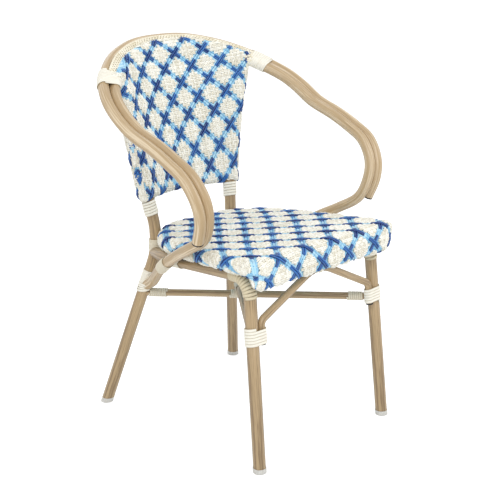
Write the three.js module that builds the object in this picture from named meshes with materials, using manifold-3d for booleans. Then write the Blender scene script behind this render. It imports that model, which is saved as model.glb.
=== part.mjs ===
// A stacking bistro armchair: bent metal tube with a bamboo look, a woven seat and back,
// and cream bindings over every joint of the frame.
// Millimetres, +Z up. The chair faces -Y, +X is the sitter's left hand.
// The origin is on the floor, under the middle of the chair.
import * as THREE from 'three';
import { mergeVertices } from 'three/addons/utils/BufferGeometryUtils.js';
import Module from 'manifold-3d';

const wasm = await Module();
wasm.setup();

// Overall size
const overallHeight = 851;
const overallWidth = 600;
const overallDepth = 563;
const halfWidth = overallWidth / 2;

// Clearances and cutting
const seatGap = 0.3; // between two pieces that touch
const bindingGap = 0.4; // between a binding and the tube it covers
const windingGap = 0.9; // the same for a wound strand, whose steps cut the corners
const braidGap = 0.6;
const seatHollowGap = 1.8; // between the seat's ring and the skin rolled round it
const overrun = 40; // how far a cutting solid runs past what it cuts
const mergeTolerance = 1e-4;
const tidyTolerance = 0.03; // slivers left by a cut that are smaller than this are cleared away
const crumbVolume = 1; // loose crumbs left by a cut, in cubic millimetres, are cleared away too

// Tubes
const legRadius = 13.5;
const hoopRadius = 12;
const railRadius = 12; // bottom rail of the back
const braceRadius = 8.2; // stretchers and the arch under the seat
const seatTubeRadius = 9.5;
const lipBarRadius = 3.4;
const crossBarRadius = 7;
const tubeSides = 10;
const braceSides = 10;
const bendTurn = THREE.MathUtils.degToRad(13); // one step of a bend
const minimumBendSteps = 3;

// Arm hoop: the outer tube, from one front curl round the back to the other
const armReach = 438.5; // front of the curl to the back of the hoop, along Y
const curlEndHeight = 492;
const pairGap = 0.6; // between the two tubes of the hoop
const stationsPerControl = 2;
const hoopRake = 0.6; // rise of the hoop's back per length towards the back
const hoopHubY = 72; // behind this the inner tube turns towards the middle
// across, back and up, from the middle of the back to the free end
const hoopShares = [
  [0, 1, 1], [0.273, 0.985, 0.989], [0.556, 0.914, 0.936], [0.744, 0.825, 0.87],
  [0.869, 0.741, 0.804], [0.956, 0.644, 0.735], [0.993, 0.555, 0.665], [1, 0.44, 0.578],
  [1, 0.288, 0.511], [1, 0.173, 0.447], [0.993, 0.071, 0.372], [0.97, 0.007, 0.243],
  [0.946, 0, 0.128], [0.923, 0.035, 0],
];
// from the curl of the inner tube down to the rear leg: across, back and down
const returnShares = [
  [0.082, 0.169, 0.172], [0.188, 0.294, 0.275], [0.358, 0.502, 0.47],
  [0.498, 0.619, 0.592], [0.718, 0.754, 0.744], [0.924, 0.879, 0.891],
];
const returnEndHeight = 291; // where the inner tube meets the rear leg

const curlEase = 7; // the inner tube leaves the outer one this far back at the outer's free end
const curlEaseShares = [0, 0.45, 1]; // how the easing grows over the last control points
const crossingGap = 0.98; // between the inner tube and the side rail that it passes
const crossingEaseShares = [0.1, 0.4, 0.8, 1, 0.9, 0.3, 0]; // part of a change that each point takes
const crossingRounds = 4;

// Size of the seat
const seatFrontHeight = 464;
const seatSlope = 0.075; // fall per length towards the back
const seatArmClearance = 5.2; // between the seat and the arm's inner tube, beside it
const seatFrontY = -268.6;
const seatLength = 436; // front edge to the rear edge
const seatRearY = seatFrontY + seatLength;

// Legs; places across are shares of half the overall width
const glideHeight = 11;
const glideFloor = 3;
const glideWall = 1.1;
const rearFootShare = 0.7;
const waistShare = 0.398;
const waistInset = 13.9; // from the seat's rear edge forward
const elbowInset = 33.5; // from the seat's side
const frontSplay = 11.5; // the front foot stands further out than the elbow
const railTurnInset = 19.5; // the rail's bend lies further in than the elbow
const rearFootX = halfWidth * rearFootShare;
const rearFootY = 241.2;
const waistX = halfWidth * waistShare; // the rear leg is narrowest beside the seat
const waistY = seatRearY - waistInset;
const waistLowHeight = 373;
const waistHighHeight = 437;
const waistLowBend = 150;
const waistHighBend = 190;
const frontFootY = -267.4;
const elbowY = -223.5;
const elbowHeight = 417;
const elbowBend = 42;
const railTurnY = 60;
const railTurnHeight = 391;
const railTurnBend = 200;
const railEndHeight = 373;

// Back panel
const panelThickness = 13;
const weaveSkin = 4.2; // strands laid over a frame tube
const panelFootShare = 0.43667; // of half the overall width
const panelFootHalfWidth = halfWidth * panelFootShare;
const panelFootHeight = 513;
const panelFootSetback = 2.1; // from the seat's rear edge back
const panelFootY = seatRearY + panelFootSetback;
const panelFootBulge = 35; // how far the middle of the lower edge lies behind its ends
const panelTopShare = 0.62; // of half the overall width
const panelTopHalfWidth = halfWidth * panelTopShare;
const panelBow = 5; // the sides bow out and back half way up
const panelColumns = 10;
const panelRows = 5;
const uprightStations = 5;
const rollSides = 10;
const panelTopStations = 12;

// Cream braid over the joint of the hoop and the panel
const braidThickness = 2.2;
const braidFromAngle = 47;
const braidToAngle = 100;
const braidBands = 3;
const braidStations = 20;
const braidEndPlace = 3.1; // in control points of the hoop, from the middle of the back
const hoopRelief = 0.9; // room that the weave leaves round the outer tube
const topRollShare = 0.6;

// Seat
const seatSkin = 4.7;
const seatDish = 5;
const lipDepth = 63; // front edge, top to bottom
const lipThickness = 22;
const lipBarShare = 0.8;
const seatStationsPerControl = 2;
// the seat's outline, front middle to rear middle: across and back
const seatOutlineShares = [
  [0, 0], [0.46, 0], [0.88, 0], [0.974, 0.016], [1, 0.07], [0.98, 0.21],
  [0.935, 0.42], [0.885, 0.6], [0.795, 0.76], [0.62, 0.885], [0.36, 0.975], [0, 1],
];
const lipShares = [1, 1, 1, 0.7, 0, 0, 0, 0, 0, 0, 0, 0];
const seatRingShares = [0.78, 0.45];
const rimAngles = [90, 58, 24, -10, -45, -80, -115];
const crossBarShares = [0.36, 0.66]; // where the cross bars lie, front to back

// Stretchers and arch
const lowStretcherRearHeight = 275.5;
const lowStretcherFrontHeight = 285.5;
const highStretcherRearHeight = 304.5;
const highStretcherFrontHeight = 290;
const archSideStep = 0.97; // direction from the leg to the arch's stub, across
const archFrontStep = 0.25; // and forward
const archStubFoot = 276;
const archShoulderHeight = 323;
const archShoulderBend = 18;
const archApexHeight = 408; // where the two straight runs would meet
const archApexY = -240;
const archCrownBend = 90;

// End caps
const capThickness = 2.4;
const capRound = 0.8;

// Bindings
const wrapThickness = 2.2;
const strandWidth = 5.8;
const strandThickness = 2.1;
const strandPitch = 6.4;
const strandSides = 5;
const stepsPerTurn = 16;
const beltNearShare = 0.56; // share of a belt's steps that lie round the leg
const uprightTurns = 5;
const frontTurns = 5.5;
const leastTurnGap = 0.4;
const nearnessSteps = 400; // points on each path when two are compared
const uprightBindingFoot = 458.2;
const braceBindingFoot = 272.5;
const cuffFromPlace = 3.25; // in control points of the hoop, from the middle of the back
const cuffToPlace = 4.05;
const cuffStations = 3;
const elbowWrapBelow = 3;
const elbowWrapAlong = 80;
const railEndWrapFoot = 376;
const railEndWrapLength = 21;
const curlEndWrapFoot = 284;
const curlEndWrapLength = 48;
const crossingWrapAbove = 25; // along the inner tube, from where it passes the side rail
const crossingWrapBelow = 16;
const crossingWrapAhead = 34; // along the side rail
const crossingWrapBehind = 5;
const stretcherWrapLength = 38;
const stretcherWrapInset = 23;
const stretcherCrossWrapLength = 44;

// Finishes
const tubeFinish = { color: 0xb79d78, roughness: 0.45, metalness: 0.1 };
const bareFinish = { color: 0x9a9a98, roughness: 0.5, metalness: 0.4 };
const creamFinish = { color: 0xece6d4, roughness: 0.8, metalness: 0 };
const weaveFinish = { color: 0x7fb4d8, roughness: 0.7, metalness: 0 };
const capFinish = { color: 0x1b1b1d, roughness: 0.6, metalness: 0 };
const glideFinish = { color: 0xdedcd6, roughness: 0.5, metalness: 0 };

const chair = new THREE.Group();
const frame = new THREE.Group();
const seat = new THREE.Group();
const back = new THREE.Group();
const bindings = new THREE.Group();
chair.add(frame, seat, back, bindings);
const X = new THREE.Vector3(1, 0, 0);
const Y = new THREE.Vector3(0, 1, 0);
const Z = new THREE.Vector3(0, 0, 1);

function addPiece(group, name, geometry, finish) {
  const mesh = new THREE.Mesh(geometry, new THREE.MeshStandardMaterial(finish));
  mesh.name = name;
  group.add(mesh);
  return mesh;
}

// Solids for joining and cutting
function toSolid(geometry) {
  const bare = geometry.clone();
  bare.deleteAttribute('normal');
  bare.deleteAttribute('uv');
  const merged = mergeVertices(bare, mergeTolerance);
  return new wasm.Manifold(new wasm.Mesh({
    numProp: 3,
    vertProperties: new Float32Array(merged.attributes.position.array),
    triVerts: new Uint32Array(merged.index.array),
  }));
}

function toGeometry(solid) {
  const bodies = solid.simplify(tidyTolerance).decompose();
  const kept = bodies.filter((body) => body.volume() > crumbVolume);
  const mesh = wasm.Manifold.compose(kept).getMesh();
  const geometry = new THREE.BufferGeometry();
  geometry.setAttribute('position', new THREE.BufferAttribute(mesh.vertProperties, mesh.numProp));
  geometry.setIndex(new THREE.BufferAttribute(mesh.triVerts, 1));
  geometry.computeVertexNormals();
  return geometry;
}

function cut(geometry, ...tools) {
  let solid = toSolid(geometry);
  for (const tool of tools) solid = solid.subtract(toSolid(tool));
  return toGeometry(solid);
}

function join(...geometries) {
  let solid = toSolid(geometries[0]);
  for (const geometry of geometries.slice(1)) solid = solid.add(toSolid(geometry));
  return toGeometry(solid);
}

// Rings of points joined into one closed skin, with a flat end at both ends
function loft(rings) {
  const count = rings[0].length;
  const positions = rings.flat().flatMap((point) => point.toArray());
  const triangles = [];
  for (let row = 0; row < rings.length - 1; row += 1) {
    for (let k = 0; k < count; k += 1) {
      const next = (k + 1) % count;
      const a = row * count + k;
      const b = row * count + next;
      triangles.push(a, b, b + count, a, b + count, a + count);
    }
  }
  const last = (rings.length - 1) * count;
  for (let k = 1; k < count - 1; k += 1) {
    triangles.push(0, k + 1, k, last, last + k, last + k + 1);
  }
  const geometry = new THREE.BufferGeometry();
  geometry.setAttribute('position', new THREE.Float32BufferAttribute(positions, 3));
  geometry.setIndex(triangles);
  geometry.computeVertexNormals();
  return geometry;
}

// A path that passes through given stations, one extrusion step for each
class StationPath extends THREE.Curve {
  constructor(stations) {
    super();
    this.stations = stations;
  }

  getPoint(t) {
    const place = t * (this.stations.length - 1);
    const index = Math.min(Math.floor(place), this.stations.length - 2);
    return this.stations[index].clone().lerp(this.stations[index + 1], place - index);
  }

  getUtoTmapping(u) {
    return u;
  }
}

function circleSection(radius, sides) {
  const points = [];
  for (let k = 0; k < sides; k += 1) {
    const angle = (k + 0.5) / sides * Math.PI * 2;
    points.push(new THREE.Vector2(radius * Math.cos(angle), radius * Math.sin(angle)));
  }
  return new THREE.Shape(points);
}

function tube(stations, radius, sides = tubeSides) {
  return new THREE.ExtrudeGeometry(circleSection(radius, sides), {
    steps: stations.length - 1,
    extrudePath: new StationPath(stations),
  });
}

// Straight runs joined by round bends, as a tube bender makes them
function bentStations(corners, bendRadii) {
  const stations = [corners[0].clone()];
  for (let i = 1; i < corners.length - 1; i += 1) {
    const corner = corners[i];
    const radius = bendRadii[i - 1];
    const into = corner.clone().sub(corners[i - 1]).normalize();
    const out = corners[i + 1].clone().sub(corner).normalize();
    const turn = into.angleTo(out);
    const axis = into.clone().cross(out).normalize();
    const towards = out.clone().sub(into).normalize();
    const centre = corner.clone().addScaledVector(towards, radius / Math.cos(turn / 2));
    const arm = corner.clone().addScaledVector(into, -radius * Math.tan(turn / 2)).sub(centre);
    const steps = Math.max(minimumBendSteps, Math.ceil(turn / bendTurn));
    for (let k = 0; k <= steps; k += 1) {
      stations.push(arm.clone().applyAxisAngle(axis, turn * k / steps).add(centre));
    }
  }
  stations.push(corners[corners.length - 1].clone());
  return stations;
}

function mirrored(points) {
  return points.map((point) => new THREE.Vector3(-point.x, point.y, point.z));
}

function pointAtHeight(stations, height) {
  for (let i = 0; i < stations.length - 1; i += 1) {
    const [a, b] = [stations[i], stations[i + 1]];
    if ((a.z - height) * (b.z - height) <= 0 && a.z !== b.z) {
      return a.clone().lerp(b, (height - a.z) / (b.z - a.z));
    }
  }
  return stations[0].clone();
}

// The stretch of a path between two lengths measured from its start
function stretch(stations, from, to) {
  const points = [];
  let length = 0;
  for (let i = 0; i < stations.length - 1; i += 1) {
    const [a, b] = [stations[i], stations[i + 1]];
    const run = a.distanceTo(b);
    if (from >= length && from < length + run) points.push(a.clone().lerp(b, (from - length) / run));
    if (length + run > from && length + run < to) points.push(b.clone());
    if (to > length && to <= length + run) points.push(a.clone().lerp(b, (to - length) / run));
    length += run;
  }
  return points;
}

function pathLength(stations) {
  let length = 0;
  for (let i = 1; i < stations.length; i += 1) length += stations[i].distanceTo(stations[i - 1]);
  return length;
}

function lengthAtHeight(stations, height) {
  let length = 0;
  for (let i = 0; i < stations.length - 1; i += 1) {
    const [a, b] = [stations[i], stations[i + 1]];
    if ((a.z - height) * (b.z - height) <= 0 && a.z !== b.z) {
      return length + a.distanceTo(b) * (height - a.z) / (b.z - a.z);
    }
    length += a.distanceTo(b);
  }
  return length;
}

// Arm hoop
const hoopHalfWidth = halfWidth - hoopRadius;
const hoopBackY = overallDepth / 2 - hoopRadius;
const hoopTopHeight = overallHeight - hoopRadius;
const pairSpacing = 2 * hoopRadius + pairGap;
const armFrontY = hoopBackY - armReach;
const curlHalfWidth = hoopShares[hoopShares.length - 1][0] * hoopHalfWidth;
const seatHalfWidth = curlHalfWidth - pairSpacing - hoopRadius - seatArmClearance;

function hoopControl([across, back, up]) {
  return new THREE.Vector3(
    across * hoopHalfWidth,
    armFrontY + back * armReach,
    curlEndHeight + up * (hoopTopHeight - curlEndHeight),
  );
}

function inwardOf(point, along) {
  const behind = Math.max(0, point.y - hoopHubY);
  const hub = new THREE.Vector3(0, point.y - behind, point.z - hoopRake * behind);
  const inward = hub.sub(point);
  return inward.addScaledVector(along, -inward.dot(along)).normalize();
}

const hoopHalf = hoopShares.map(hoopControl);
const hoopControls = [...mirrored(hoopHalf.slice(1)).reverse(), ...hoopHalf];
const pairDirections = hoopControls.map((point, i) => {
  const before = hoopControls[Math.max(0, i - 1)];
  const after = hoopControls[Math.min(hoopControls.length - 1, i + 1)];
  return inwardOf(point, after.clone().sub(before).normalize());
});

function splineStations(controls) {
  const curve = new THREE.CatmullRomCurve3(controls, false, 'centripetal');
  return curve.getPoints((controls.length - 1) * stationsPerControl);
}

const armHoopLine = splineStations(hoopControls);

// Rear leg and upright
const floorDrop = new THREE.Vector3(rearFootX, rearFootY, 0);
const waistLow = new THREE.Vector3(waistX, waistY, waistLowHeight);
const waistHigh = new THREE.Vector3(waistX, waistY, waistHighHeight);

function belowFloor(foot, towards) {
  const down = foot.clone().sub(towards).normalize();
  return foot.clone().addScaledVector(down, overrun);
}

const rearLegFoot = bentStations(
  [belowFloor(floorDrop, waistLow), waistLow, waistHigh],
  [waistLowBend],
);

// Front leg, its elbow and the side rail
const elbow = new THREE.Vector3(seatHalfWidth - elbowInset, elbowY, elbowHeight);
const frontFoot = new THREE.Vector3(elbow.x + frontSplay, frontFootY, 0);
const frontLegLine = bentStations([
  belowFloor(frontFoot, elbow),
  elbow,
  new THREE.Vector3(elbow.x - railTurnInset, railTurnY, railTurnHeight),
  pointAtHeight(rearLegFoot, railEndHeight),
], [elbowBend, railTurnBend]);

// Inner tube of the hoop, with its return to the rear leg
const rearLegSlope = waistLow.clone().sub(floorDrop).divideScalar(waistLowHeight);
const returnEnd = floorDrop.clone().addScaledVector(rearLegSlope, returnEndHeight);
const innerHoopControls = hoopControls.map((point, i) => {
  const fromEnd = Math.min(i, hoopControls.length - 1 - i);
  const share = curlEaseShares[curlEaseShares.length - 1 - fromEnd] ?? 0;
  return point.clone().addScaledVector(pairDirections[i], pairSpacing)
    .addScaledVector(Y, curlEase * share);
});
const curlEnd = innerHoopControls[innerHoopControls.length - 1];
const returnControls = returnShares.map(([across, back, down]) => new THREE.Vector3(
  THREE.MathUtils.lerp(curlEnd.x, returnEnd.x, across),
  THREE.MathUtils.lerp(curlEnd.y, returnEnd.y, back),
  THREE.MathUtils.lerp(curlEnd.z, returnEnd.z, down),
));
returnControls.push(returnEnd);
settleReturn();
const innerHoopLine = splineStations([
  ...mirrored(returnControls).reverse(), ...innerHoopControls, ...returnControls,
]);

// Moves the return sideways until it passes the side rail at the given gap
function settleReturn() {
  for (let round = 0; round < crossingRounds; round += 1) {
    const line = splineStations([curlEnd, ...returnControls]);
    const { gap, onFirst, onSecond } = nearestLengths(line, frontLegLine);
    const away = stretch(line, 0, onFirst).pop().sub(stretch(frontLegLine, 0, onSecond).pop());
    away.setLength(hoopRadius + legRadius + crossingGap - gap);
    returnControls.forEach((point, i) => point.addScaledVector(away, crossingEaseShares[i]));
  }
}

// Where the inner tube crosses a given distance from the middle plane, behind the arms
function innerHoopAt(across) {
  const behind = innerHoopLine.filter((point) => point.y > hoopHubY && point.z > panelFootHeight);
  for (let i = 0; i < behind.length - 1; i += 1) {
    const [a, b] = [behind[i], behind[i + 1]];
    if (across >= a.x && across <= b.x) return a.clone().lerp(b, (across - a.x) / (b.x - a.x));
  }
  return behind[across < 0 ? 0 : behind.length - 1].clone();
}

// Middle surface of the back: u runs from side to side, v from the lower rail to the hoop
function panelPoint(u, v) {
  const foot = new THREE.Vector3(
    u * panelFootHalfWidth,
    panelFootY + panelFootBulge * (1 - u * u),
    panelFootHeight,
  );
  const top = innerHoopAt(u * panelTopHalfWidth);
  const bow = 4 * v * (1 - v) * panelBow;
  return foot.lerp(top, v).add(new THREE.Vector3(-bow * u, bow, 0));
}

function panelNormal(u, v) {
  const step = 1 / panelColumns;
  const across = panelPoint(u + step / 2, v).sub(panelPoint(u - step / 2, v));
  const up = panelPoint(u, Math.min(1, v + step)).sub(panelPoint(u, Math.max(0, v - step)));
  return across.cross(up).normalize();
}

const uprightLine = [];
for (let k = 1; k <= uprightStations; k += 1) uprightLine.push(panelPoint(1, k / uprightStations));
const rearLegLine = [
  ...bentStations(
    [belowFloor(floorDrop, waistLow), waistLow, waistHigh, panelPoint(1, 0)],
    [waistLowBend, waistHighBend],
  ),
  ...uprightLine,
];

// The space that a rear leg takes, run past its upper end
function rearLegTool(place, gap) {
  const top = rearLegLine[rearLegLine.length - 1];
  const past = top.clone().sub(rearLegLine[rearLegLine.length - 2]).setLength(gap).add(top);
  return tube(place([...rearLegLine, past]), legRadius + gap);
}

function groundBox(top) {
  const size = overallWidth + 2 * overrun;
  const box = new THREE.BoxGeometry(size, size, overrun * 2);
  return box.translate(0, 0, top - overrun);
}

const bottomRailLine = [];
for (let k = 0; k <= panelColumns; k += 1) {
  bottomRailLine.push(panelPoint(-1 + 2 * k / panelColumns, 0));
}

// Each side is made once for the sitter's left and mirrored for the right
const sides = [['left', (line) => line], ['right', mirrored]];

function makeHoop() {
  addPiece(frame, 'arm_hoop', tube(armHoopLine, hoopRadius), tubeFinish);
  const legs = sides.map(([, place]) => rearLegTool(place, seatGap));
  addPiece(frame, 'inner_hoop', cut(tube(innerHoopLine, hoopRadius), ...legs), tubeFinish);
}

function makeLegs() {
  const hoopTool = tube(innerHoopLine, hoopRadius + seatGap);
  const floorTool = groundBox(glideFloor + seatGap);
  for (const [side, place] of sides) {
    const rear = cut(tube(place(rearLegLine), legRadius), hoopTool, floorTool);
    addPiece(frame, `rear_leg_${side}`, rear, tubeFinish);
    const rearTool = rearLegTool(place, seatGap);
    const front = cut(tube(place(frontLegLine), legRadius), rearTool, floorTool);
    addPiece(frame, `front_leg_${side}`, front, tubeFinish);
  }
}

function makeGlides() {
  for (const [side, place] of sides) {
    for (const [end, line] of [['rear', rearLegLine], ['front', frontLegLine]]) {
      const placed = place(line);
      const ankle = pointAtHeight(placed, glideHeight);
      const body = tube([placed[0], ankle], legRadius + glideWall);
      const socket = cut(tube(placed, legRadius + seatGap), groundBox(glideFloor));
      addPiece(frame, `glide_${end}_${side}`, cut(body, socket, groundBox(0)), glideFinish);
    }
  }
}

// A round cap with a softened rim, turned about its own axis and then set on the tube's end
function makeCap(name, end, inside, radius) {
  const out = end.clone().sub(inside).normalize();
  const profile = [
    [0, 0], [radius, 0], [radius, capThickness - capRound],
    [radius - capRound, capThickness], [0, capThickness],
  ].map(([across, along]) => new THREE.Vector2(across, along));
  const cap = addPiece(frame, name, new THREE.LatheGeometry(profile, tubeSides), capFinish);
  cap.position.copy(end).addScaledVector(out, seatGap);
  cap.quaternion.setFromUnitVectors(Y, out);
}

function makeBackFrame() {
  const uprights = sides.map(([, place]) => rearLegTool(place, seatGap));
  const rail = cut(tube(bottomRailLine, railRadius, braceSides), ...uprights);
  addPiece(back, 'back_bottom_rail', rail, bareFinish);
}

// Place along the hoop, counted in control points from the middle of the back
const hoopMiddle = hoopShares.length - 1;

function alongHoop(place) {
  const low = Math.min(Math.floor(place + hoopMiddle), hoopControls.length - 2);
  const share = place + hoopMiddle - low;
  const station = (place + hoopMiddle) * stationsPerControl;
  const index = Math.min(Math.floor(station), armHoopLine.length - 2);
  const point = armHoopLine[index].clone().lerp(armHoopLine[index + 1], station - index);
  const along = armHoopLine[index + 1].clone().sub(armHoopLine[index]).normalize();
  const inward = pairDirections[low].clone().lerp(pairDirections[low + 1], share);
  inward.addScaledVector(along, -inward.dot(along)).normalize();
  return { point, inward, up: inward.clone().cross(along).normalize() };
}

// Braid: a thin band on the front upper quarter of the outer tube, grown on all sides by a margin
function braidBand(margin) {
  const inner = hoopRadius + braidGap - margin;
  const outer = hoopRadius + braidGap + braidThickness + margin;
  const spread = THREE.MathUtils.radToDeg(margin / hoopRadius);
  const rings = [];
  for (let k = 0; k <= braidStations; k += 1) {
    const { point, inward, up } = alongHoop(braidEndPlace * (2 * k / braidStations - 1));
    const spot = (radius, band) => {
      const degrees = THREE.MathUtils.lerp(
        braidFromAngle - spread, braidToAngle + spread, band / braidBands,
      );
      const angle = THREE.MathUtils.degToRad(degrees);
      return point.clone()
        .addScaledVector(inward, radius * Math.cos(angle))
        .addScaledVector(up, radius * Math.sin(angle));
    };
    const ring = [];
    for (let band = 0; band <= braidBands; band += 1) ring.push(spot(outer, band));
    for (let band = braidBands; band >= 0; band -= 1) ring.push(spot(inner, band));
    rings.push(ring);
  }
  return outward(loft(rings));
}

// A closed belt round two circles of a pair: offsets from the first centre, with normals
function beltLoop(firstRadius, secondRadius, spacing, steps) {
  const lean = Math.acos((firstRadius - secondRadius) / spacing);
  const loop = [];
  const nearSteps = Math.round(steps * beltNearShare);
  const farSteps = steps - nearSteps;
  for (let k = 0; k < nearSteps; k += 1) {
    const angle = THREE.MathUtils.lerp(lean, 2 * Math.PI - lean, k / (nearSteps - 1));
    loop.push({ angle, radius: firstRadius, centre: 0 });
  }
  for (let k = 0; k < farSteps; k += 1) {
    const angle = THREE.MathUtils.lerp(-lean, lean, k / (farSteps - 1));
    loop.push({ angle, radius: secondRadius, centre: spacing });
  }
  return loop;
}

function circleLoop(radius, steps) {
  const loop = [];
  for (let k = 0; k < steps; k += 1) loop.push({ angle: 2 * Math.PI * k / steps, radius, centre: 0 });
  return loop;
}

function loopPoint({ angle, radius, centre }, grow, towards, aside) {
  return towards.clone().multiplyScalar(centre + (radius + grow) * Math.cos(angle))
    .addScaledVector(aside, (radius + grow) * Math.sin(angle));
}

// One strand wound round a leg, turn beside turn; its least gap to itself is printed
function winding(name, line, foot, turns, loop, towards) {
  const rings = [];
  for (let i = 0; i <= turns * loop.length; i += 1) {
    const height = foot + strandWidth / 2 + strandPitch * i / loop.length;
    const core = pointAtHeight(line, height);
    const along = pointAtHeight(line, height + strandPitch)
      .sub(pointAtHeight(line, height - strandPitch)).normalize();
    const facing = towards.clone().addScaledVector(along, -towards.dot(along)).normalize();
    const aside = along.clone().cross(facing);
    const ring = [];
    for (let k = 0; k < strandSides; k += 1) {
      const angle = 2 * Math.PI * k / strandSides;
      const grow = windingGap + strandThickness / 2 * (1 + Math.cos(angle));
      ring.push(loopPoint(loop[i % loop.length], grow, facing, aside)
        .addScaledVector(along, strandWidth / 2 * Math.sin(angle)).add(core));
    }
    rings.push(ring);
  }
  let least = Infinity;
  for (let i = 0; i < rings.length; i += 1) {
    for (let j = i + Math.ceil(loop.length / 2); j < rings.length; j += 1) {
      for (const a of rings[i]) for (const b of rings[j]) least = Math.min(least, a.distanceTo(b));
    }
  }
  console.log(`${name}: least gap between turns ${least.toFixed(2)} mm`);
  if (least < leastTurnGap) console.log(`${name}: the turns lie too close`);
  return outward(loft(rings));
}

function outward(geometry) {
  if (toSolid(geometry).volume() > 0) return geometry;
  const index = geometry.index.array;
  for (let i = 0; i < index.length; i += 3) [index[i + 1], index[i + 2]] = [index[i + 2], index[i + 1]];
  geometry.computeVertexNormals();
  return geometry;
}

// Seat: a woven skin with a rolled rim and a deep front lip
const seatRim = seatTubeRadius + seatHollowGap + seatSkin;
const seatOutline = [];
{
  const half = seatOutlineShares.map(([across, back]) => new THREE.Vector3(
    across * seatHalfWidth, seatFrontY + back * seatLength, 0,
  ));
  const loop = [...half, ...mirrored(half.slice(1, -1)).reverse()];
  const depths = [...lipShares, ...lipShares.slice(1, -1).reverse()];
  const curve = new THREE.CatmullRomCurve3(loop, true, 'centripetal');
  const count = loop.length * seatStationsPerControl;
  for (let k = 0; k < count; k += 1) {
    const low = Math.floor(k / seatStationsPerControl);
    const share = k / seatStationsPerControl - low;
    const point = curve.getPoint(k / count);
    const along = curve.getTangent(k / count);
    seatOutline.push({
      point,
      inward: new THREE.Vector3(-along.y, along.x, 0).normalize(),
      lip: THREE.MathUtils.lerp(depths[low], depths[(low + 1) % depths.length], share),
    });
  }
}

function seatTop(y) {
  return seatFrontHeight - seatSlope * (y - seatFrontY);
}

function seatEdgePoint({ point, inward }, inset, drop) {
  const edge = point.clone().addScaledVector(inward, inset);
  return edge.setZ(seatTop(edge.y) - drop);
}

// Inset and drop of the rim's outer or inner skin, mixed with those of the front lip
function rimProfile(radius, skin) {
  const edge = lipThickness / 2;
  const lip = [
    null, null, null, [skin, lipDepth / 2], [skin, lipDepth - edge],
    [edge, lipDepth - skin], [lipThickness - skin, lipDepth - edge],
  ];
  return rimAngles.map((degrees, k) => {
    const angle = THREE.MathUtils.degToRad(degrees);
    const rim = [seatRim - radius * Math.cos(angle), seatRim - radius * Math.sin(angle)];
    return { rim, lip: lip[k] ?? rim };
  });
}

function makeSeatWeave() {
  const middle = new THREE.Vector3(0, seatFrontY + seatLength / 2, 0);
  const flat = (share, drop) => seatOutline.map((station) => {
    const edge = seatEdgePoint(station, seatRim, drop);
    const point = middle.clone().lerp(edge, share);
    return point.setZ(seatTop(point.y) - drop - seatDish * (1 - share * share));
  });
  const skin = (radius, thickness) => rimProfile(radius, thickness).map(({ rim, lip }) => (
    seatOutline.map((station) => seatEdgePoint(
      station,
      THREE.MathUtils.lerp(rim[0], lip[0], station.lip),
      THREE.MathUtils.lerp(rim[1], lip[1], station.lip),
    ))
  ));
  const rings = [
    ...seatRingShares.map((share) => flat(share, 0)).reverse(),
    ...skin(seatRim, 0),
    ...skin(seatRim - seatSkin, seatSkin).reverse(),
    ...seatRingShares.map((share) => flat(share, seatSkin)),
  ];
  const count = seatOutline.length;
  const positions = rings.flat().flatMap((point) => point.toArray());
  const top = positions.length / 3;
  positions.push(0, middle.y, seatTop(middle.y) - seatDish);
  positions.push(0, middle.y, seatTop(middle.y) - seatDish - seatSkin);
  const triangles = [];
  for (let k = 0; k < count; k += 1) {
    const next = (k + 1) % count;
    triangles.push(top, k, next);
    const last = (rings.length - 1) * count;
    triangles.push(top + 1, last + next, last + k);
    for (let row = 0; row < rings.length - 1; row += 1) {
      const [a, b] = [row * count + k, row * count + next];
      triangles.push(a, a + count, b, b, a + count, b + count);
    }
  }
  const geometry = new THREE.BufferGeometry();
  geometry.setAttribute('position', new THREE.Float32BufferAttribute(positions, 3));
  geometry.setIndex(triangles);
  geometry.computeVertexNormals();
  addPiece(seat, 'seat_weave', outward(geometry), weaveFinish);
}

// The seat frame is one bent ring with its butt joint at the back
function seatFrameLine() {
  const rear = seatOutline.findIndex(({ point }, k) => k > 0 && Math.abs(point.x) < seatGap);
  const turned = [...seatOutline.slice(rear), ...seatOutline.slice(0, rear + 1)];
  const line = turned.map((station) => seatEdgePoint(station, seatRim, seatRim));
  line[0].x -= seatGap;
  line[line.length - 1].x += seatGap;
  return line;
}

function ringHalfWidth(line, y) {
  const side = line.filter((point) => point.x > 0);
  const index = side.findIndex((point, k) => k > 0 && (point.y - y) * (side[k - 1].y - y) <= 0);
  const [a, b] = [side[index - 1], side[index]];
  return THREE.MathUtils.lerp(a.x, b.x, (y - a.y) / (b.y - a.y));
}

// A straight bar across the chair, made about the origin and then set in its place
function acrossBar(half, radius) {
  return tube([X.clone().multiplyScalar(-half), X.clone().multiplyScalar(half)], radius);
}

function makeSeatFrame() {
  const line = seatFrameLine();
  addPiece(seat, 'seat_frame', tube(line, seatTubeRadius, braceSides), bareFinish);
  crossBarShares.forEach((share, index) => {
    const y = seatFrontY + share * seatLength;
    const z = seatTop(y) - seatSkin - seatDish - seatGap - crossBarRadius;
    const ring = tube(line, seatTubeRadius + seatGap, braceSides).translate(0, -y, -z);
    const bar = cut(acrossBar(ringHalfWidth(line, y), crossBarRadius), ring);
    addPiece(seat, `seat_cross_bar_${index + 1}`, bar, bareFinish).position.set(0, y, z);
  });
  const lipY = seatFrontY + lipThickness / 2;
  const lipZ = seatTop(lipY) - lipDepth + lipThickness / 2;
  const lipBar = acrossBar(seatHalfWidth * lipBarShare, lipBarRadius);
  addPiece(seat, 'seat_lip_bar', lipBar, bareFinish).position.set(0, lipY, lipZ);
}

// Stretchers cross between the legs, one just above the other
function stretcherLine(rearSide, rearHeight, frontHeight) {
  const rear = pointAtHeight(rearLegLine, rearHeight);
  const front = pointAtHeight(frontLegLine, frontHeight);
  rear.x *= rearSide;
  front.x *= -rearSide;
  return [rear, front];
}

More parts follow.
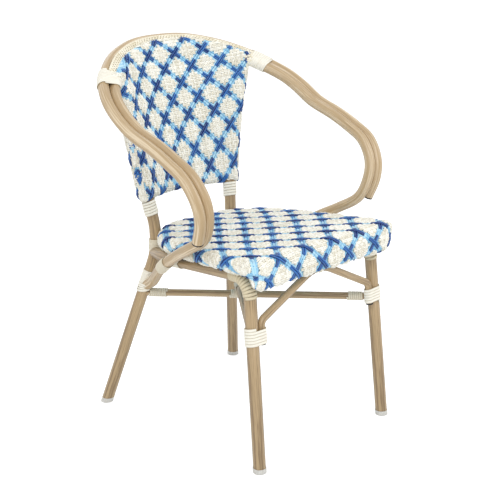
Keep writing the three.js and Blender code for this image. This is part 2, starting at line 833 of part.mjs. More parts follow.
const stretcherLines = {
  low: stretcherLine(-1, lowStretcherRearHeight, lowStretcherFrontHeight),
  high: stretcherLine(1, highStretcherRearHeight, highStretcherFrontHeight),
};

// Arch: a stub on each front leg, a tight shoulder bend and two straight runs to a round crown
const stubDirection = new THREE.Vector3(-archSideStep, -archFrontStep, 0).normalize();
const stubSpacing = legRadius + braceRadius + seatGap;

function stubPoint(height) {
  return pointAtHeight(frontLegLine, height).addScaledVector(stubDirection, stubSpacing);
}

function archLine() {
  const [foot, shoulder] = [stubPoint(archStubFoot), stubPoint(archShoulderHeight)];
  const apex = new THREE.Vector3(0, archApexY, archApexHeight);
  return bentStations(
    [foot, shoulder, apex, ...mirrored([shoulder, foot])],
    [archShoulderBend, archCrownBend, archShoulderBend],
  );
}

const archStations = archLine();

const uprightLoop = circleLoop(legRadius, stepsPerTurn);
const archLoop = beltLoop(legRadius, braceRadius, stubSpacing, stepsPerTurn);

// The space that the front leg's binding takes, as one solid
function frontBindingTool(place) {
  const top = braceBindingFoot + strandPitch * frontTurns + strandWidth;
  const aside = Z.clone().cross(stubDirection);
  const grow = windingGap + strandThickness + bindingGap;
  const rings = [braceBindingFoot - bindingGap, top + bindingGap].map((height) => {
    const core = pointAtHeight(frontLegLine, height);
    return archLoop.map((spot) => loopPoint(spot, grow, stubDirection, aside).add(core));
  });
  return outward(loft(rings.map((ring) => place(ring))));
}

function makeBraces() {
  const rearTools = sides.map(([, place]) => rearLegTool(place, seatGap));
  rearTools.push(tube(innerHoopLine, hoopRadius + seatGap));
  const frontTools = sides.flatMap(([, place]) => [
    tube(place(frontLegLine), legRadius + seatGap), frontBindingTool(place),
  ]);
  for (const [level, line] of Object.entries(stretcherLines)) {
    const bar = cut(tube(line, braceRadius, braceSides), ...rearTools, ...frontTools);
    addPiece(frame, `stretcher_${level}`, bar, tubeFinish);
  }
  addPiece(frame, 'front_arch', tube(archStations, braceRadius, braceSides), tubeFinish);
}

function makeCaps() {
  const [first, second] = [armHoopLine[0], armHoopLine[1]];
  const [stub, above] = [archStations[0], archStations[1]];
  for (const [side, place] of sides) {
    const [end, inside] = place(mirrored([first, second]));
    makeCap(`arm_cap_${side}`, end, inside, hoopRadius);
    const [foot, next] = place([stub, above]);
    makeCap(`arch_cap_${side}`, foot, next, braceRadius);
  }
}

function makeBackWeave() {
  const rings = [];
  for (let column = 0; column <= panelColumns; column += 1) {
    const u = -1 + 2 * column / panelColumns;
    const rows = Array.from({ length: panelRows + 1 }, (_, row) => row / panelRows);
    const skin = (offset) => rows.map((v) => (
      panelPoint(u, v).addScaledVector(panelNormal(u, v), offset)
    ));
    rings.push([...skin(panelThickness / 2), ...skin(-panelThickness / 2).reverse()]);
  }
  const uprightRoll = legRadius + seatGap + weaveSkin;
  const railRoll = railRadius + seatGap + weaveSkin;
  const hoopRoll = hoopRadius + seatGap + weaveSkin;
  const rolls = sides.map(([, place]) => {
    const line = rearLegLine.slice(-uprightStations);
    line.unshift(pointAtHeight(rearLegLine, panelFootHeight - railRoll + seatGap));
    return tube(place(line), uprightRoll, rollSides);
  });
  rolls.push(tube(bottomRailLine, railRoll, rollSides));
  const topHalf = panelTopHalfWidth + uprightRoll * topRollShare;
  const topLine = [];
  for (let k = 0; k <= panelTopStations; k += 1) {
    topLine.push(innerHoopAt(topHalf * (2 * k / panelTopStations - 1)));
  }
  rolls.push(tube(topLine, hoopRoll, rollSides));
  const tools = [
    tube(innerHoopLine, hoopRadius + seatGap),
    tube(armHoopLine, hoopRadius + hoopRelief),
    tube(bottomRailLine, railRadius + seatGap, braceSides),
    braidBand(seatGap),
    ...sides.map(([, place]) => rearLegTool(place, seatGap)),
    ...sides.map(([, place]) => cuffBody(place, seatGap)),
  ];
  addPiece(back, 'back_weave', cut(join(outward(loft(rings)), ...rolls), ...tools), weaveFinish);
  const cuffTools = sides.map(([, place]) => cuffBody(place, seatGap));
  addPiece(back, 'edge_braid', cut(braidBand(0), ...cuffTools), creamFinish);
}

// Cuff: one wrap round both tubes of the hoop, beside the top corner of the panel
function cuffBody(place, extra) {
  const loop = beltLoop(hoopRadius, hoopRadius, pairSpacing, stepsPerTurn);
  const rings = [];
  for (let k = 0; k <= cuffStations; k += 1) {
    const end = k === 0 ? -extra : (k === cuffStations ? extra : 0);
    const hoopPlace = THREE.MathUtils.lerp(cuffFromPlace, cuffToPlace, k / cuffStations);
    const { point, inward, up } = alongHoop(hoopPlace);
    const along = up.clone().cross(inward);
    rings.push(place(loop.map((spot) => (
      loopPoint(spot, bindingGap + wrapThickness + extra, inward, up)
        .addScaledVector(along, -end).add(point)
    ))));
  }
  return outward(loft(rings));
}

function sleeve(line, from, to, radius) {
  return tube(stretch(line, from, to), radius + bindingGap + wrapThickness, rollSides);
}

function evenPoints(line) {
  const length = pathLength(line);
  const points = [];
  for (let k = 1; k <= nearnessSteps; k += 1) {
    const reach = length * k / nearnessSteps;
    points.push({ reach, point: stretch(line, 0, reach).pop() });
  }
  return points;
}

// The lengths along two paths at which they come nearest to each other
function nearestLengths(first, second) {
  const best = { gap: Infinity, onFirst: 0, onSecond: 0 };
  const others = evenPoints(second);
  for (const one of evenPoints(first)) {
    for (const other of others) {
      const gap = one.point.distanceTo(other.point);
      if (gap < best.gap) Object.assign(best, { gap, onFirst: one.reach, onSecond: other.reach });
    }
  }
  return best;
}

function makeBindings() {
  const hoopTools = [armHoopLine, innerHoopLine].map((line) => tube(line, hoopRadius + bindingGap));
  const stretcherTools = Object.values(stretcherLines).map((line) => (
    tube(line, braceRadius + bindingGap, braceSides)
  ));
  for (const [side, place] of sides) {
    const rear = place(rearLegLine);
    const front = place(frontLegLine);
    const inner = side === 'left' ? innerHoopLine : mirrored(innerHoopLine);
    const rearTool = tube(rear, legRadius + bindingGap);
    const frontTool = tube(front, legRadius + bindingGap);
    const bind = (name, geometry) => addPiece(bindings, `${name}_${side}`, geometry, creamFinish);
    const stub = place([stubDirection])[0];
    bind('upright_binding', winding(
      `upright_binding_${side}`, rear, uprightBindingFoot, uprightTurns, uprightLoop, X,
    ));
    bind('arch_binding', winding(
      `arch_binding_${side}`, front, braceBindingFoot, frontTurns, archLoop, stub,
    ));
    bind('cuff', cut(cuffBody(place, 0), ...hoopTools));

    const elbowLength = lengthAtHeight(front, elbowHeight - elbowBend);
    bind('elbow_binding', cut(
      sleeve(front, elbowLength - elbowWrapBelow, elbowLength + elbowWrapAlong, legRadius),
      frontTool,
    ));

    const railLength = lengthAtHeight(rear, railEndWrapFoot);
    bind('rail_end_binding', cut(
      sleeve(rear, railLength, railLength + railEndWrapLength, legRadius),
      rearTool, frontTool,
    ));

    const curlLength = lengthAtHeight(rear, curlEndWrapFoot);
    bind('curl_end_binding', cut(
      sleeve(rear, curlLength, curlLength + curlEndWrapLength, legRadius),
      rearTool, hoopTools[1], ...stretcherTools,
    ));

    const { gap, onFirst, onSecond } = nearestLengths(inner, front);
    const clear = gap - hoopRadius - legRadius;
    console.log(`inner tube passes the side rail ${clear.toFixed(2)} mm away`);
    bind('crossing_binding', cut(
      join(
        sleeve(inner, onFirst - crossingWrapAbove, onFirst + crossingWrapBelow, hoopRadius),
        sleeve(front, onSecond - crossingWrapAhead, onSecond + crossingWrapBehind, legRadius),
      ),
      hoopTools[1], frontTool,
    ));
  }

  const wraps = Object.entries(stretcherLines).map(([level, line]) => {
    const length = pathLength(line);
    const ends = {
      rear: [stretcherWrapInset, stretcherWrapInset + stretcherWrapLength],
      front: [length - stretcherWrapInset - stretcherWrapLength, length - stretcherWrapInset],
    };
    for (const [end, [from, to]] of Object.entries(ends)) {
      addPiece(bindings, `stretcher_${level}_${end}_binding`, cut(
        sleeve(line, from, to, braceRadius),
        tube(line, braceRadius + bindingGap, braceSides),
      ), creamFinish);
    }
    return line;
  });
  const meeting = nearestLengths(wraps[0], wraps[1]);
  console.log(`stretchers pass ${(meeting.gap - 2 * braceRadius).toFixed(2)} mm apart`);
  const halfCross = stretcherCrossWrapLength / 2;
  addPiece(bindings, 'stretcher_cross_binding', cut(
    join(
      sleeve(wraps[0], meeting.onFirst - halfCross, meeting.onFirst + halfCross, braceRadius),
      sleeve(wraps[1], meeting.onSecond - halfCross, meeting.onSecond + halfCross, braceRadius),
    ),
    ...stretcherTools,
  ), creamFinish);
}

makeHoop();
makeLegs();
makeGlides();
makeCaps();
makeBackFrame();
makeBackWeave();
makeSeatWeave();
makeSeatFrame();
makeBraces();
makeBindings();

export default chair;
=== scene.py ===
import math
import random
import bpy
import numpy as np
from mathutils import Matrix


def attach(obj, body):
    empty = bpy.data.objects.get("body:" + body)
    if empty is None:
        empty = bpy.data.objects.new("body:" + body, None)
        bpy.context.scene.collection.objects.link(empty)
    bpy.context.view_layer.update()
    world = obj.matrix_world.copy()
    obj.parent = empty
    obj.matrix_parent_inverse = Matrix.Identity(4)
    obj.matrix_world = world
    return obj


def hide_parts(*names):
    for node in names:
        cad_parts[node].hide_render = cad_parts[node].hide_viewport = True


# A bistro armchair with a woven seat and back, seen from its front right corner on a pale floor.
# Lengths are in millimetres here and go into Blender in metres.
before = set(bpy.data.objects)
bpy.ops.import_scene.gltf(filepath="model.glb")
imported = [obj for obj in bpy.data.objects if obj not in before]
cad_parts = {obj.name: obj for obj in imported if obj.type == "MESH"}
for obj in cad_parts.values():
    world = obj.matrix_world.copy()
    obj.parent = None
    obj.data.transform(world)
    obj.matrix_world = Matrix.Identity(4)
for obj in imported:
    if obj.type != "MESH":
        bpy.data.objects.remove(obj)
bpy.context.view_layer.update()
scene = bpy.context.scene
mm = 0.001
random.seed(7)


def vec(*values):
    return np.array(values, float)


def unit(v):
    return v / np.linalg.norm(v)


# camera, room and light

# solved from matching points on the left and right of the photographed chair
view = {"target": vec(0, -27.6, 391.62), "distance": 2565.02, "azimuth": -44.67, "elevation": 17.2,
        "lens": 81.66, "shift": (0.00416, -0.00014)}


def placeCamera():
    az, el = math.radians(view["azimuth"]), math.radians(view["elevation"])
    back = vec(math.sin(az) * math.cos(el), -math.cos(az) * math.cos(el), math.sin(el))
    spot = (view["target"] + back * view["distance"]) * mm
    bpy.ops.object.camera_add(location=spot, rotation=(math.pi / 2 - el, 0, az))
    camera = bpy.context.object
    camera.name = "photoCamera"
    camera.data.lens = view["lens"]
    camera.data.sensor_width = 36
    camera.data.shift_x, camera.data.shift_y = view["shift"]
    camera.data.clip_end = 50
    scene.camera = camera


room = {"floor": (0.9, 0.9, 0.9), "floorSize": 24, "floorGlow": 0.45, "world": 0.78, "aimHeight": 0.4}
# where each lamp stands in metres, its size and its power
lamps = {"keyLamp": ((-2.6, -2.4, 3.2), 2.4, 66.0), "fillLamp": ((3.0, -2.2, 2.2), 2.6, 34.0),
         "rimLamp": ((0.6, 3.0, 2.8), 2.2, 18.0)}


def newMaterial(name):
    material = bpy.data.materials.new(name)
    material.use_nodes = True
    tree = material.node_tree
    shader = tree.nodes["Principled BSDF"]
    return material, tree, shader


def mathNode(tree, operation, *values):
    node = tree.nodes.new("ShaderNodeMath")
    node.operation = operation
    for socket, value in zip(node.inputs, values):
        if isinstance(value, (int, float)):
            socket.default_value = value
        else:
            tree.links.new(value, socket)
    return node.outputs[0]


def summed(tree, base, *terms):
    # base plus each value times its weight
    for value, weight in terms:
        base = mathNode(tree, "MULTIPLY_ADD", value, weight, base)
    return base


def makeRoom():
    bpy.ops.object.select_all(action="DESELECT")
    bpy.ops.mesh.primitive_plane_add(size=room["floorSize"], location=(0, 0, 0))
    floor = bpy.context.object
    floor.name = "floor"
    material, tree, shader = newMaterial("paleFloor")
    shader.inputs["Base Color"].default_value = (*room["floor"], 1)
    shader.inputs["Roughness"].default_value = 0.9
    shader.inputs["Specular IOR Level"].default_value = 0.1
    path = tree.nodes.new("ShaderNodeLightPath")
    glow = mathNode(tree, "MULTIPLY", path.outputs["Is Camera Ray"], room["floorGlow"])
    shader.inputs["Emission Color"].default_value = (1, 1, 1, 1)
    tree.links.new(glow, shader.inputs["Emission Strength"])
    floor.data.materials.append(material)
    world = bpy.data.worlds.new("studio")
    scene.world = world
    world.use_nodes = True
    tree = world.node_tree
    background = tree.nodes["Background"]
    background.inputs["Color"].default_value = (1, 1, 1, 1)
    path = tree.nodes.new("ShaderNodeLightPath")
    seen = mathNode(tree, "MAXIMUM", path.outputs["Is Camera Ray"], path.outputs["Is Glossy Ray"])
    seen = mathNode(tree, "MAXIMUM", seen, path.outputs["Is Transmission Ray"])
    strength = summed(tree, room["world"], (seen, 1.0 - room["world"]))
    tree.links.new(strength, background.inputs["Strength"])
    for name, (spot, size, energy) in lamps.items():
        bpy.ops.object.light_add(type="AREA", location=spot)
        lamp = bpy.context.object
        lamp.name = name
        lamp.data.size = size
        lamp.data.energy = energy
        towards = unit(vec(*spot) - vec(0, 0, room["aimHeight"]))
        lamp.rotation_euler = (math.acos(towards[2]), 0, math.atan2(towards[1], towards[0]) + math.pi / 2)
    scene.view_settings.view_transform = "Standard"


placeCamera()
makeRoom()
print("camera, floor and lamps stand")

# sizes in millimetres, as in the part's source; shares (across, back and up) and returnShares (across,
# back and down) are control points taken from a program's fit to the photographed tubes' centres
hoop = {"radius": 12.0, "halfWidth": 288.0, "backY": 269.5, "reach": 438.5, "topHeight": 839.0,
        "curlHeight": 492.0, "pairSpacing": 24.6, "rake": 0.6, "hubY": 72.0, "curlEase": 7.0,
        "shares": [(0, 1, 1), (0.273, 0.985, 0.989), (0.556, 0.914, 0.936), (0.744, 0.825, 0.87),
                   (0.869, 0.741, 0.804), (0.956, 0.644, 0.735), (0.993, 0.555, 0.665),
                   (1, 0.44, 0.578), (1, 0.288, 0.511), (1, 0.173, 0.447), (0.993, 0.071, 0.372),
                   (0.97, 0.007, 0.243), (0.946, 0, 0.128), (0.923, 0.035, 0)],
        "returnShares": [(0.082, 0.169, 0.172), (0.188, 0.294, 0.275), (0.358, 0.502, 0.47),
                         (0.498, 0.619, 0.592), (0.718, 0.754, 0.744), (0.924, 0.879, 0.891)],
        "returnHeight": 291.0}
legs = {"radius": 13.5, "rearFoot": (210.0, 241.2), "waist": (119.4, 153.5, 373.0, 437.0),
        "waistBends": (150.0, 190.0), "frontFoot": (202.02, -267.4), "elbow": (190.52, -223.5, 417.0),
        "railTurn": (171.02, 60.0, 391.0), "frontBends": (42.0, 200.0), "railEnd": 373.0}
panel = {"footHalf": 131.0, "footHeight": 513.0, "footY": 169.5, "bulge": 35.0, "topHalf": 186.0,
         "bow": 5.0}
seat = {"frontHeight": 464.0, "slope": 0.075, "halfWidth": 224.02, "frontY": -268.6, "length": 436.0,
        "dish": 5.0, "rim": 16.0, "lipDepth": 63.0, "lipThickness": 22.0,
        "outline": [(0, 0), (0.46, 0), (0.88, 0), (0.974, 0.016), (1, 0.07), (0.98, 0.21),
                    (0.935, 0.42), (0.885, 0.6), (0.795, 0.76), (0.62, 0.885), (0.36, 0.975), (0, 1)],
        "lips": [1, 1, 1, 0.7, 0, 0, 0, 0, 0, 0, 0, 0]}
stationsPerControl = 8


def splinePoint(points, t, closed=False):
    count = len(points)
    place = (count if closed else count - 1) * t
    index = int(math.floor(place))
    weight = place - index
    if not closed and index >= count - 1:
        index, weight = count - 2, 1.0
    p1, p2 = points[index % count], points[(index + 1) % count]
    p0 = points[(index - 1) % count] if closed or index > 0 else 2 * points[0] - points[1]
    p3 = points[(index + 2) % count] if closed or index + 2 < count else 2 * points[-1] - points[-2]
    d0, d1, d2 = (math.sqrt(max(np.linalg.norm(b - a), 1e-6)) for a, b in ((p0, p1), (p1, p2), (p2, p3)))
    m1 = ((p1 - p0) / d0 - (p2 - p0) / (d0 + d1) + (p2 - p1) / d1) * d1
    m2 = ((p2 - p1) / d1 - (p3 - p1) / (d1 + d2) + (p3 - p2) / d2) * d1
    return (p1 + m1 * weight + (3 * (p2 - p1) - 2 * m1 - m2) * weight ** 2
            + (2 * (p1 - p2) + m1 + m2) * weight ** 3)


def splineLine(controls):
    count = (len(controls) - 1) * stationsPerControl
    return [splinePoint(controls, k / count) for k in range(count + 1)]


def mirrored(points):
    return [p * vec(-1, 1, 1) for p in points]


def bentLine(corners, radii, turnStep=math.radians(5)):
    line = [corners[0]]
    for i in range(1, len(corners) - 1):
        corner, radius = corners[i], radii[i - 1]
        into, out = unit(corner - corners[i - 1]), unit(corners[i + 1] - corner)
        turn = math.acos(max(-1, min(1, float(into @ out))))
        axis = unit(np.cross(into, out))
        centre = corner + unit(out - into) * radius / math.cos(turn / 2)
        arm = corner - into * radius * math.tan(turn / 2) - centre
        steps = max(3, math.ceil(turn / turnStep))
        for k in range(steps + 1):
            angle = turn * k / steps
            line.append(centre + arm * math.cos(angle) + np.cross(axis, arm) * math.sin(angle))
    line.append(corners[-1])
    return line


def atHeight(line, height):
    for a, b in zip(line, line[1:]):
        if (a[2] - height) * (b[2] - height) <= 0 and a[2] != b[2]:
            return a + (b - a) * (height - a[2]) / (b[2] - a[2])
    return line[0]


def hoopControl(share):
    return vec(share[0] * hoop["halfWidth"], hoop["backY"] - hoop["reach"] * (1 - share[1]),
               hoop["curlHeight"] + share[2] * (hoop["topHeight"] - hoop["curlHeight"]))


def inwardOf(point, along):
    behind = max(0.0, point[1] - hoop["hubY"])
    inward = vec(0, point[1] - behind, point[2] - hoop["rake"] * behind) - point
    return unit(inward - along * (inward @ along))


hoopHalf = [hoopControl(s) for s in hoop["shares"]]
hoopControls = mirrored(hoopHalf[1:])[::-1] + hoopHalf
hoopAlongs = [unit(hoopControls[min(i + 1, len(hoopControls) - 1)] - hoopControls[max(i - 1, 0)])
              for i in range(len(hoopControls))]
hoopInwards = [inwardOf(p, a) for p, a in zip(hoopControls, hoopAlongs)]
armHoopLine = splineLine(hoopControls)
floorDrop = vec(*legs["rearFoot"], 0)
waistLow = vec(*legs["waist"][:2], legs["waist"][2])
waistHigh = vec(*legs["waist"][:2], legs["waist"][3])
returnEnd = floorDrop + (waistLow - floorDrop) / waistLow[2] * hoop["returnHeight"]
innerControls = []
for i, point in enumerate(hoopControls):
    ease = {0: 1.0, 1: 0.45}.get(min(i, len(hoopControls) - 1 - i), 0.0)
    innerControls.append(point + hoopInwards[i] * hoop["pairSpacing"] + vec(0, hoop["curlEase"] * ease, 0))
curlEnd = innerControls[-1]
returnControls = [curlEnd + (returnEnd - curlEnd) * vec(*s) for s in hoop["returnShares"]] + [returnEnd]
innerHoopLine = splineLine(mirrored(returnControls)[::-1] + innerControls + returnControls)
innerTop = [p for p in innerHoopLine if p[1] > hoop["hubY"] and p[2] > panel["footHeight"]]


def innerAt(across):
    xs = [p[0] for p in innerTop]
    return vec(across, np.interp(across, xs, [p[1] for p in innerTop]),
               np.interp(across, xs, [p[2] for p in innerTop]))


def panelPoint(u, v):
    foot = vec(u * panel["footHalf"], panel["footY"] + panel["bulge"] * (1 - u * u), panel["footHeight"])
    bow = 4 * v * (1 - v) * panel["bow"]
    return foot + (innerAt(u * panel["topHalf"]) - foot) * v + vec(-bow * u, bow, 0)


rearLegLine = bentLine([floorDrop, waistLow, waistHigh, panelPoint(1, 0)], legs["waistBends"]) + [
    panelPoint(1, k / 10) for k in range(1, 11)]
elbow = vec(*legs["elbow"])
frontLegLine = bentLine([vec(*legs["frontFoot"], 0), elbow, vec(*legs["railTurn"]),
                         atHeight(rearLegLine, legs["railEnd"])], legs["frontBends"])


def seatTop(y):
    return seat["frontHeight"] - seat["slope"] * (y - seat["frontY"])


outlineHalf = [vec(across * seat["halfWidth"], seat["frontY"] + back * seat["length"], 0)
               for across, back in seat["outline"]]
outlineLoop = outlineHalf + mirrored(outlineHalf[1:-1])[::-1]
outlineLips = seat["lips"] + seat["lips"][1:-1][::-1]

# meshes: a heap gathers swept strands and tubes, and becomes one piece


def newHeap():
    return {"verts": [], "faces": [], "grain": [], "tone": [], "count": 0}


def addRings(heap, rings, grain, tone):
    # rings: stations x corners x 3; the ends are closed with a flat face
    stations, corners = rings.shape[:2]
    flat = rings.reshape(-1, 3)
    first = heap["count"]
    index = first + np.arange(stations * corners).reshape(stations, corners)
    following = np.roll(index, -1, axis=1)
    quads = np.stack([index[:-1], following[:-1], following[1:], index[1:]], axis=-1).reshape(-1, 4)
    a, b, c, d = (flat[quads[:, k] - first] for k in range(4))
    cores = np.repeat(rings.mean(axis=1)[:-1], corners, axis=0)
    outside = float(np.sum(np.cross(c - a, d - b) * ((a + b + c + d) / 4 - cores)))
    faces = [list(q) for q in quads] + [list(index[0][::-1]), list(index[-1])]
    if outside < 0:
        faces = [face[::-1] for face in faces]
    heap["verts"].append(flat)
    heap["faces"].extend(faces)
    heap["grain"].append(grain.reshape(-1, 3))
    heap["tone"].append(np.full(stations * corners, tone))
    heap["count"] += stations * corners


def finishHeap(heap, name, material, nodes):
    verts = np.concatenate(heap["verts"]) * mm
    mesh = bpy.data.meshes.new(name)
    mesh.from_pydata(verts.tolist(), [], [[int(k) for k in face] for face in heap["faces"]])
    mesh.polygons.foreach_set("use_smooth", [True] * len(mesh.polygons))
    grain = mesh.attributes.new("grain", "FLOAT_VECTOR", "POINT")
    grain.data.foreach_set("vector", (np.concatenate(heap["grain"]) * mm).astype(np.float32).ravel())
    tone = mesh.attributes.new("tone", "FLOAT", "POINT")
    tone.data.foreach_set("value", np.concatenate(heap["tone"]).astype(np.float32))
    mesh.materials.append(material)
    mesh.update()
    piece = bpy.data.objects.new(name, mesh)
    scene.collection.objects.link(piece)
    settle(piece, nodes)
    return piece


def settle(piece, nodes):
    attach(piece, "root")
    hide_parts(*nodes)


def lengthsOf(line):
    line = np.asarray(line, float)
    return np.concatenate([[0], np.cumsum(np.linalg.norm(np.diff(line, axis=0), axis=1))])


def framesOf(line):
    # directions along and round a line that don't twist
    line = np.asarray(line, float)
    along = np.gradient(line, axis=0)
    along /= np.linalg.norm(along, axis=1)[:, None]
    side = np.cross(along[0], vec(0, 0, 1) if abs(along[0][2]) < 0.9 else vec(0, 1, 0))
    sides = []
    for direction in along:
        side = unit(side - direction * (side @ direction))
        sides.append(side)
    sides = np.array(sides)
    return {"line": line, "length": lengthsOf(line), "along": along, "side": sides,
            "over": np.cross(along, sides)}


def frameAt(frames, places):
    places = np.atleast_1d(np.asarray(places, float))
    found = {}
    for key in ("line", "along", "side", "over"):
        found[key] = np.stack([np.interp(places, frames["length"], frames[key][:, k])
                               for k in range(3)], axis=1)
        if key != "line":
            found[key] /= np.linalg.norm(found[key], axis=1)[:, None]
    return found


tubeRim = 1.2  # how far the edge of a tube's end is softened


def addTube(heap, line, radius, sides=24, tone=0.5):
    # a round tube with softened rims at both ends
    frames, rim = framesOf(line), tubeRim
    total = frames["length"][-1]
    inner = [s for s in frames["length"][1:-1] if rim * 1.5 < s < total - rim * 1.5]
    places = np.array([0, rim * 0.3, rim] + inner + [total - rim, total - rim * 0.3, total])
    sizes = np.full(len(places), radius)
    sizes[[0, -1]] -= rim
    sizes[[1, -2]] -= rim * 0.29
    here = frameAt(frames, places)
    angles = np.arange(sides) / sides * 2 * math.pi
    ring = (np.cos(angles)[None, :, None] * here["side"][:, None, :]
            + np.sin(angles)[None, :, None] * here["over"][:, None, :])
    rings = here["line"][:, None, :] + ring * sizes[:, None, None]
    grain = np.stack(np.broadcast_arrays(places[:, None], radius * np.cos(angles)[None, :],
                                         radius * np.sin(angles)[None, :]), axis=-1)
    addRings(heap, rings, grain, tone)


def addStrand(heap, path, normals, width, thick, corners=6, tone=0.5, turn=0.5, taper=1.0):
    # a flat oval strand that lies on a surface with these normals
    path, normals = np.asarray(path, float), np.asarray(normals, float)
    sideways = np.cross(np.gradient(path, axis=0), normals)
    sideways /= np.maximum(np.linalg.norm(sideways, axis=1), 1e-9)[:, None]
    angles = (np.arange(corners) + turn) / corners * 2 * math.pi
    sizes = np.ones(len(path))
    sizes[[0, -1]] = taper
    rings = (path[:, None, :] + (np.cos(angles)[None, :, None] * sideways[:, None, :] * width / 2
             + np.sin(angles)[None, :, None] * normals[:, None, :] * thick / 2) * sizes[:, None, None])
    grain = np.stack(np.broadcast_arrays(lengthsOf(path)[:, None], width / 2 * np.cos(angles)[None, :],
                                         np.zeros((1, corners))), axis=-1)
    addRings(heap, rings, grain, tone)


# finishes


def noiseNode(tree, vector, scale, detail=3.0, rough=0.6):
    # noise whose scale differs along and across the grain
    mapping = tree.nodes.new("ShaderNodeMapping")
    mapping.inputs["Scale"].default_value = scale
    tree.links.new(vector, mapping.inputs["Vector"])
    node = tree.nodes.new("ShaderNodeTexNoise")
    node.inputs["Scale"].default_value = 1.0
    node.inputs["Detail"].default_value = detail
    node.inputs["Roughness"].default_value = rough
    tree.links.new(mapping.outputs["Vector"], node.inputs["Vector"])
    return node.outputs["Fac"]


def rampNode(tree, value, stops):
    node = tree.nodes.new("ShaderNodeValToRGB")
    ramp = node.color_ramp
    while len(ramp.elements) < len(stops):
        ramp.elements.new(0.5)
    for element, (place, colour) in zip(ramp.elements, stops):
        element.position = place
        element.color = (*linear(colour), 1)
    tree.links.new(value, node.inputs["Fac"])
    return node.outputs["Color"]


def linear(colour):
    parts = (c / 255 for c in colour)
    return [c / 12.92 if c <= 0.04045 else ((c + 0.055) / 1.055) ** 2.4 for c in parts]


def mixed(tree, fac, first, colour):
    # a share fac of a plain colour over a node's colour
    node = tree.nodes.new("ShaderNodeMix")
    node.data_type = "RGBA"
    tree.links.new(fac, node.inputs[0])
    tree.links.new(first, node.inputs[6])
    node.inputs[7].default_value = (*linear(colour), 1)
    return node.outputs[2]


def coat(tree, shader, colour, rough, height, distance, strength):
    # colour, roughness and bump of a surface
    node = tree.nodes.new("ShaderNodeBump")
    node.inputs["Distance"].default_value = distance
    node.inputs["Strength"].default_value = strength
    tree.links.new(height, node.inputs["Height"])
    tree.links.new(node.outputs["Normal"], shader.inputs["Normal"])
    tree.links.new(colour, shader.inputs["Base Color"])
    if isinstance(rough, float):
        shader.inputs["Roughness"].default_value = rough
    else:
        tree.links.new(rough, shader.inputs["Roughness"])


def attribute(tree, name, output="Vector"):
    node = tree.nodes.new("ShaderNodeAttribute")
    node.attribute_name = name
    return node.outputs[output]


cane = {"pale": (228, 210, 180), "warm": (182, 157, 119), "dark": (126, 103, 72),
        "blotch": (178, 152, 114)}


def makeCaneFinish():
    # printed bamboo grain on lacquered tube: long streaks, slow blotches, fine fibre; each tube's tone value
    # is painted light and shade, lighter on the arm hoops, darker on the legs and braces
    material, tree, shader = newMaterial("bambooLacquer")
    grain = attribute(tree, "grain")
    streaks = noiseNode(tree, grain, (2.6, 150, 150), 4, 0.65)
    fine = noiseNode(tree, grain, (26, 900, 900), 2, 0.5)
    blotch = noiseNode(tree, grain, (9, 24, 24), 2, 0.5)
    value = summed(tree, -0.15, (streaks, 0.72), (fine, 0.28), (attribute(tree, "tone", "Fac"), 0.3))
    base = rampNode(tree, value, [(0.36, cane["dark"]), (0.46, cane["warm"]), (0.54, cane["warm"]),
                                  (0.65, cane["pale"])])
    colour = mixed(tree, mathNode(tree, "MULTIPLY", blotch, 0.3), base, cane["blotch"])
    coat(tree, shader, colour, summed(tree, 0.3, (fine, 0.2)), value, 0.0002, 0.5)
    shader.inputs["Coat Weight"].default_value = 0.3
    shader.inputs["Coat Roughness"].default_value = 0.25
    return material


def makeStrandFinish(name, pale, deep, roughness=0.42, fibre=0.25, edge=0.0, half=2.0):
    # extruded resin strand: fine lengthwise ribs, a little colour change from strand to strand,
    # and edges painted darker as shade between strands, half a strand's width (mm) from its middle
    material, tree, shader = newMaterial(name)
    grain = attribute(tree, "grain")
    ribs = noiseNode(tree, grain, (12, 1500, 400), 2, 0.5)
    mottle = noiseNode(tree, grain, (60, 160, 160))
    parts = tree.nodes.new("ShaderNodeSeparateXYZ")
    tree.links.new(grain, parts.inputs[0])
    aside = mathNode(tree, "MULTIPLY", mathNode(tree, "ABSOLUTE", parts.outputs["Y"]), 1 / (half * mm))
    value = summed(tree, 0.0, (ribs, 0.35), (attribute(tree, "tone", "Fac"), 0.45), (mottle, 0.25),
                   (mathNode(tree, "POWER", aside, 3.0), -edge))
    colour = rampNode(tree, value, [(0.22, deep), (0.66, pale)])
    coat(tree, shader, colour, summed(tree, roughness - 0.1, (mottle, 0.2)), ribs, 0.00025, fibre)
    return material


def makePlainFinish(name, scale, colours, rough, strength, source=None, **inputs):
    # one noise drives colour, roughness and bump, along the grain or through the piece
    material, tree, shader = newMaterial(name)
    if source:
        spot = attribute(tree, source)
    else:
        spot = tree.nodes.new("ShaderNodeTexCoord").outputs["Object"]
    cloud = noiseNode(tree, spot, scale)
    colour = rampNode(tree, cloud, [(0.3, colours[0]), (0.7, colours[1])])
    coat(tree, shader, colour, summed(tree, rough[0], (cloud, rough[1])), cloud, 0.0001, strength)
    for key, value in inputs.items():
        shader.inputs[key.replace("_", " ")].default_value = value
    return material


caneFinish = makeCaneFinish()
# edge: how strongly each strand's edges are painted darker, as shade between neighbouring strands
creamFinish = makeStrandFinish("creamStrand", (255, 254, 246), (224, 218, 198), edge=0.22, half=1.85)
cordFinish = makeStrandFinish("creamBinding", (250, 248, 238), (212, 202, 176), 0.5, 0.5, 0.25, 3.2)
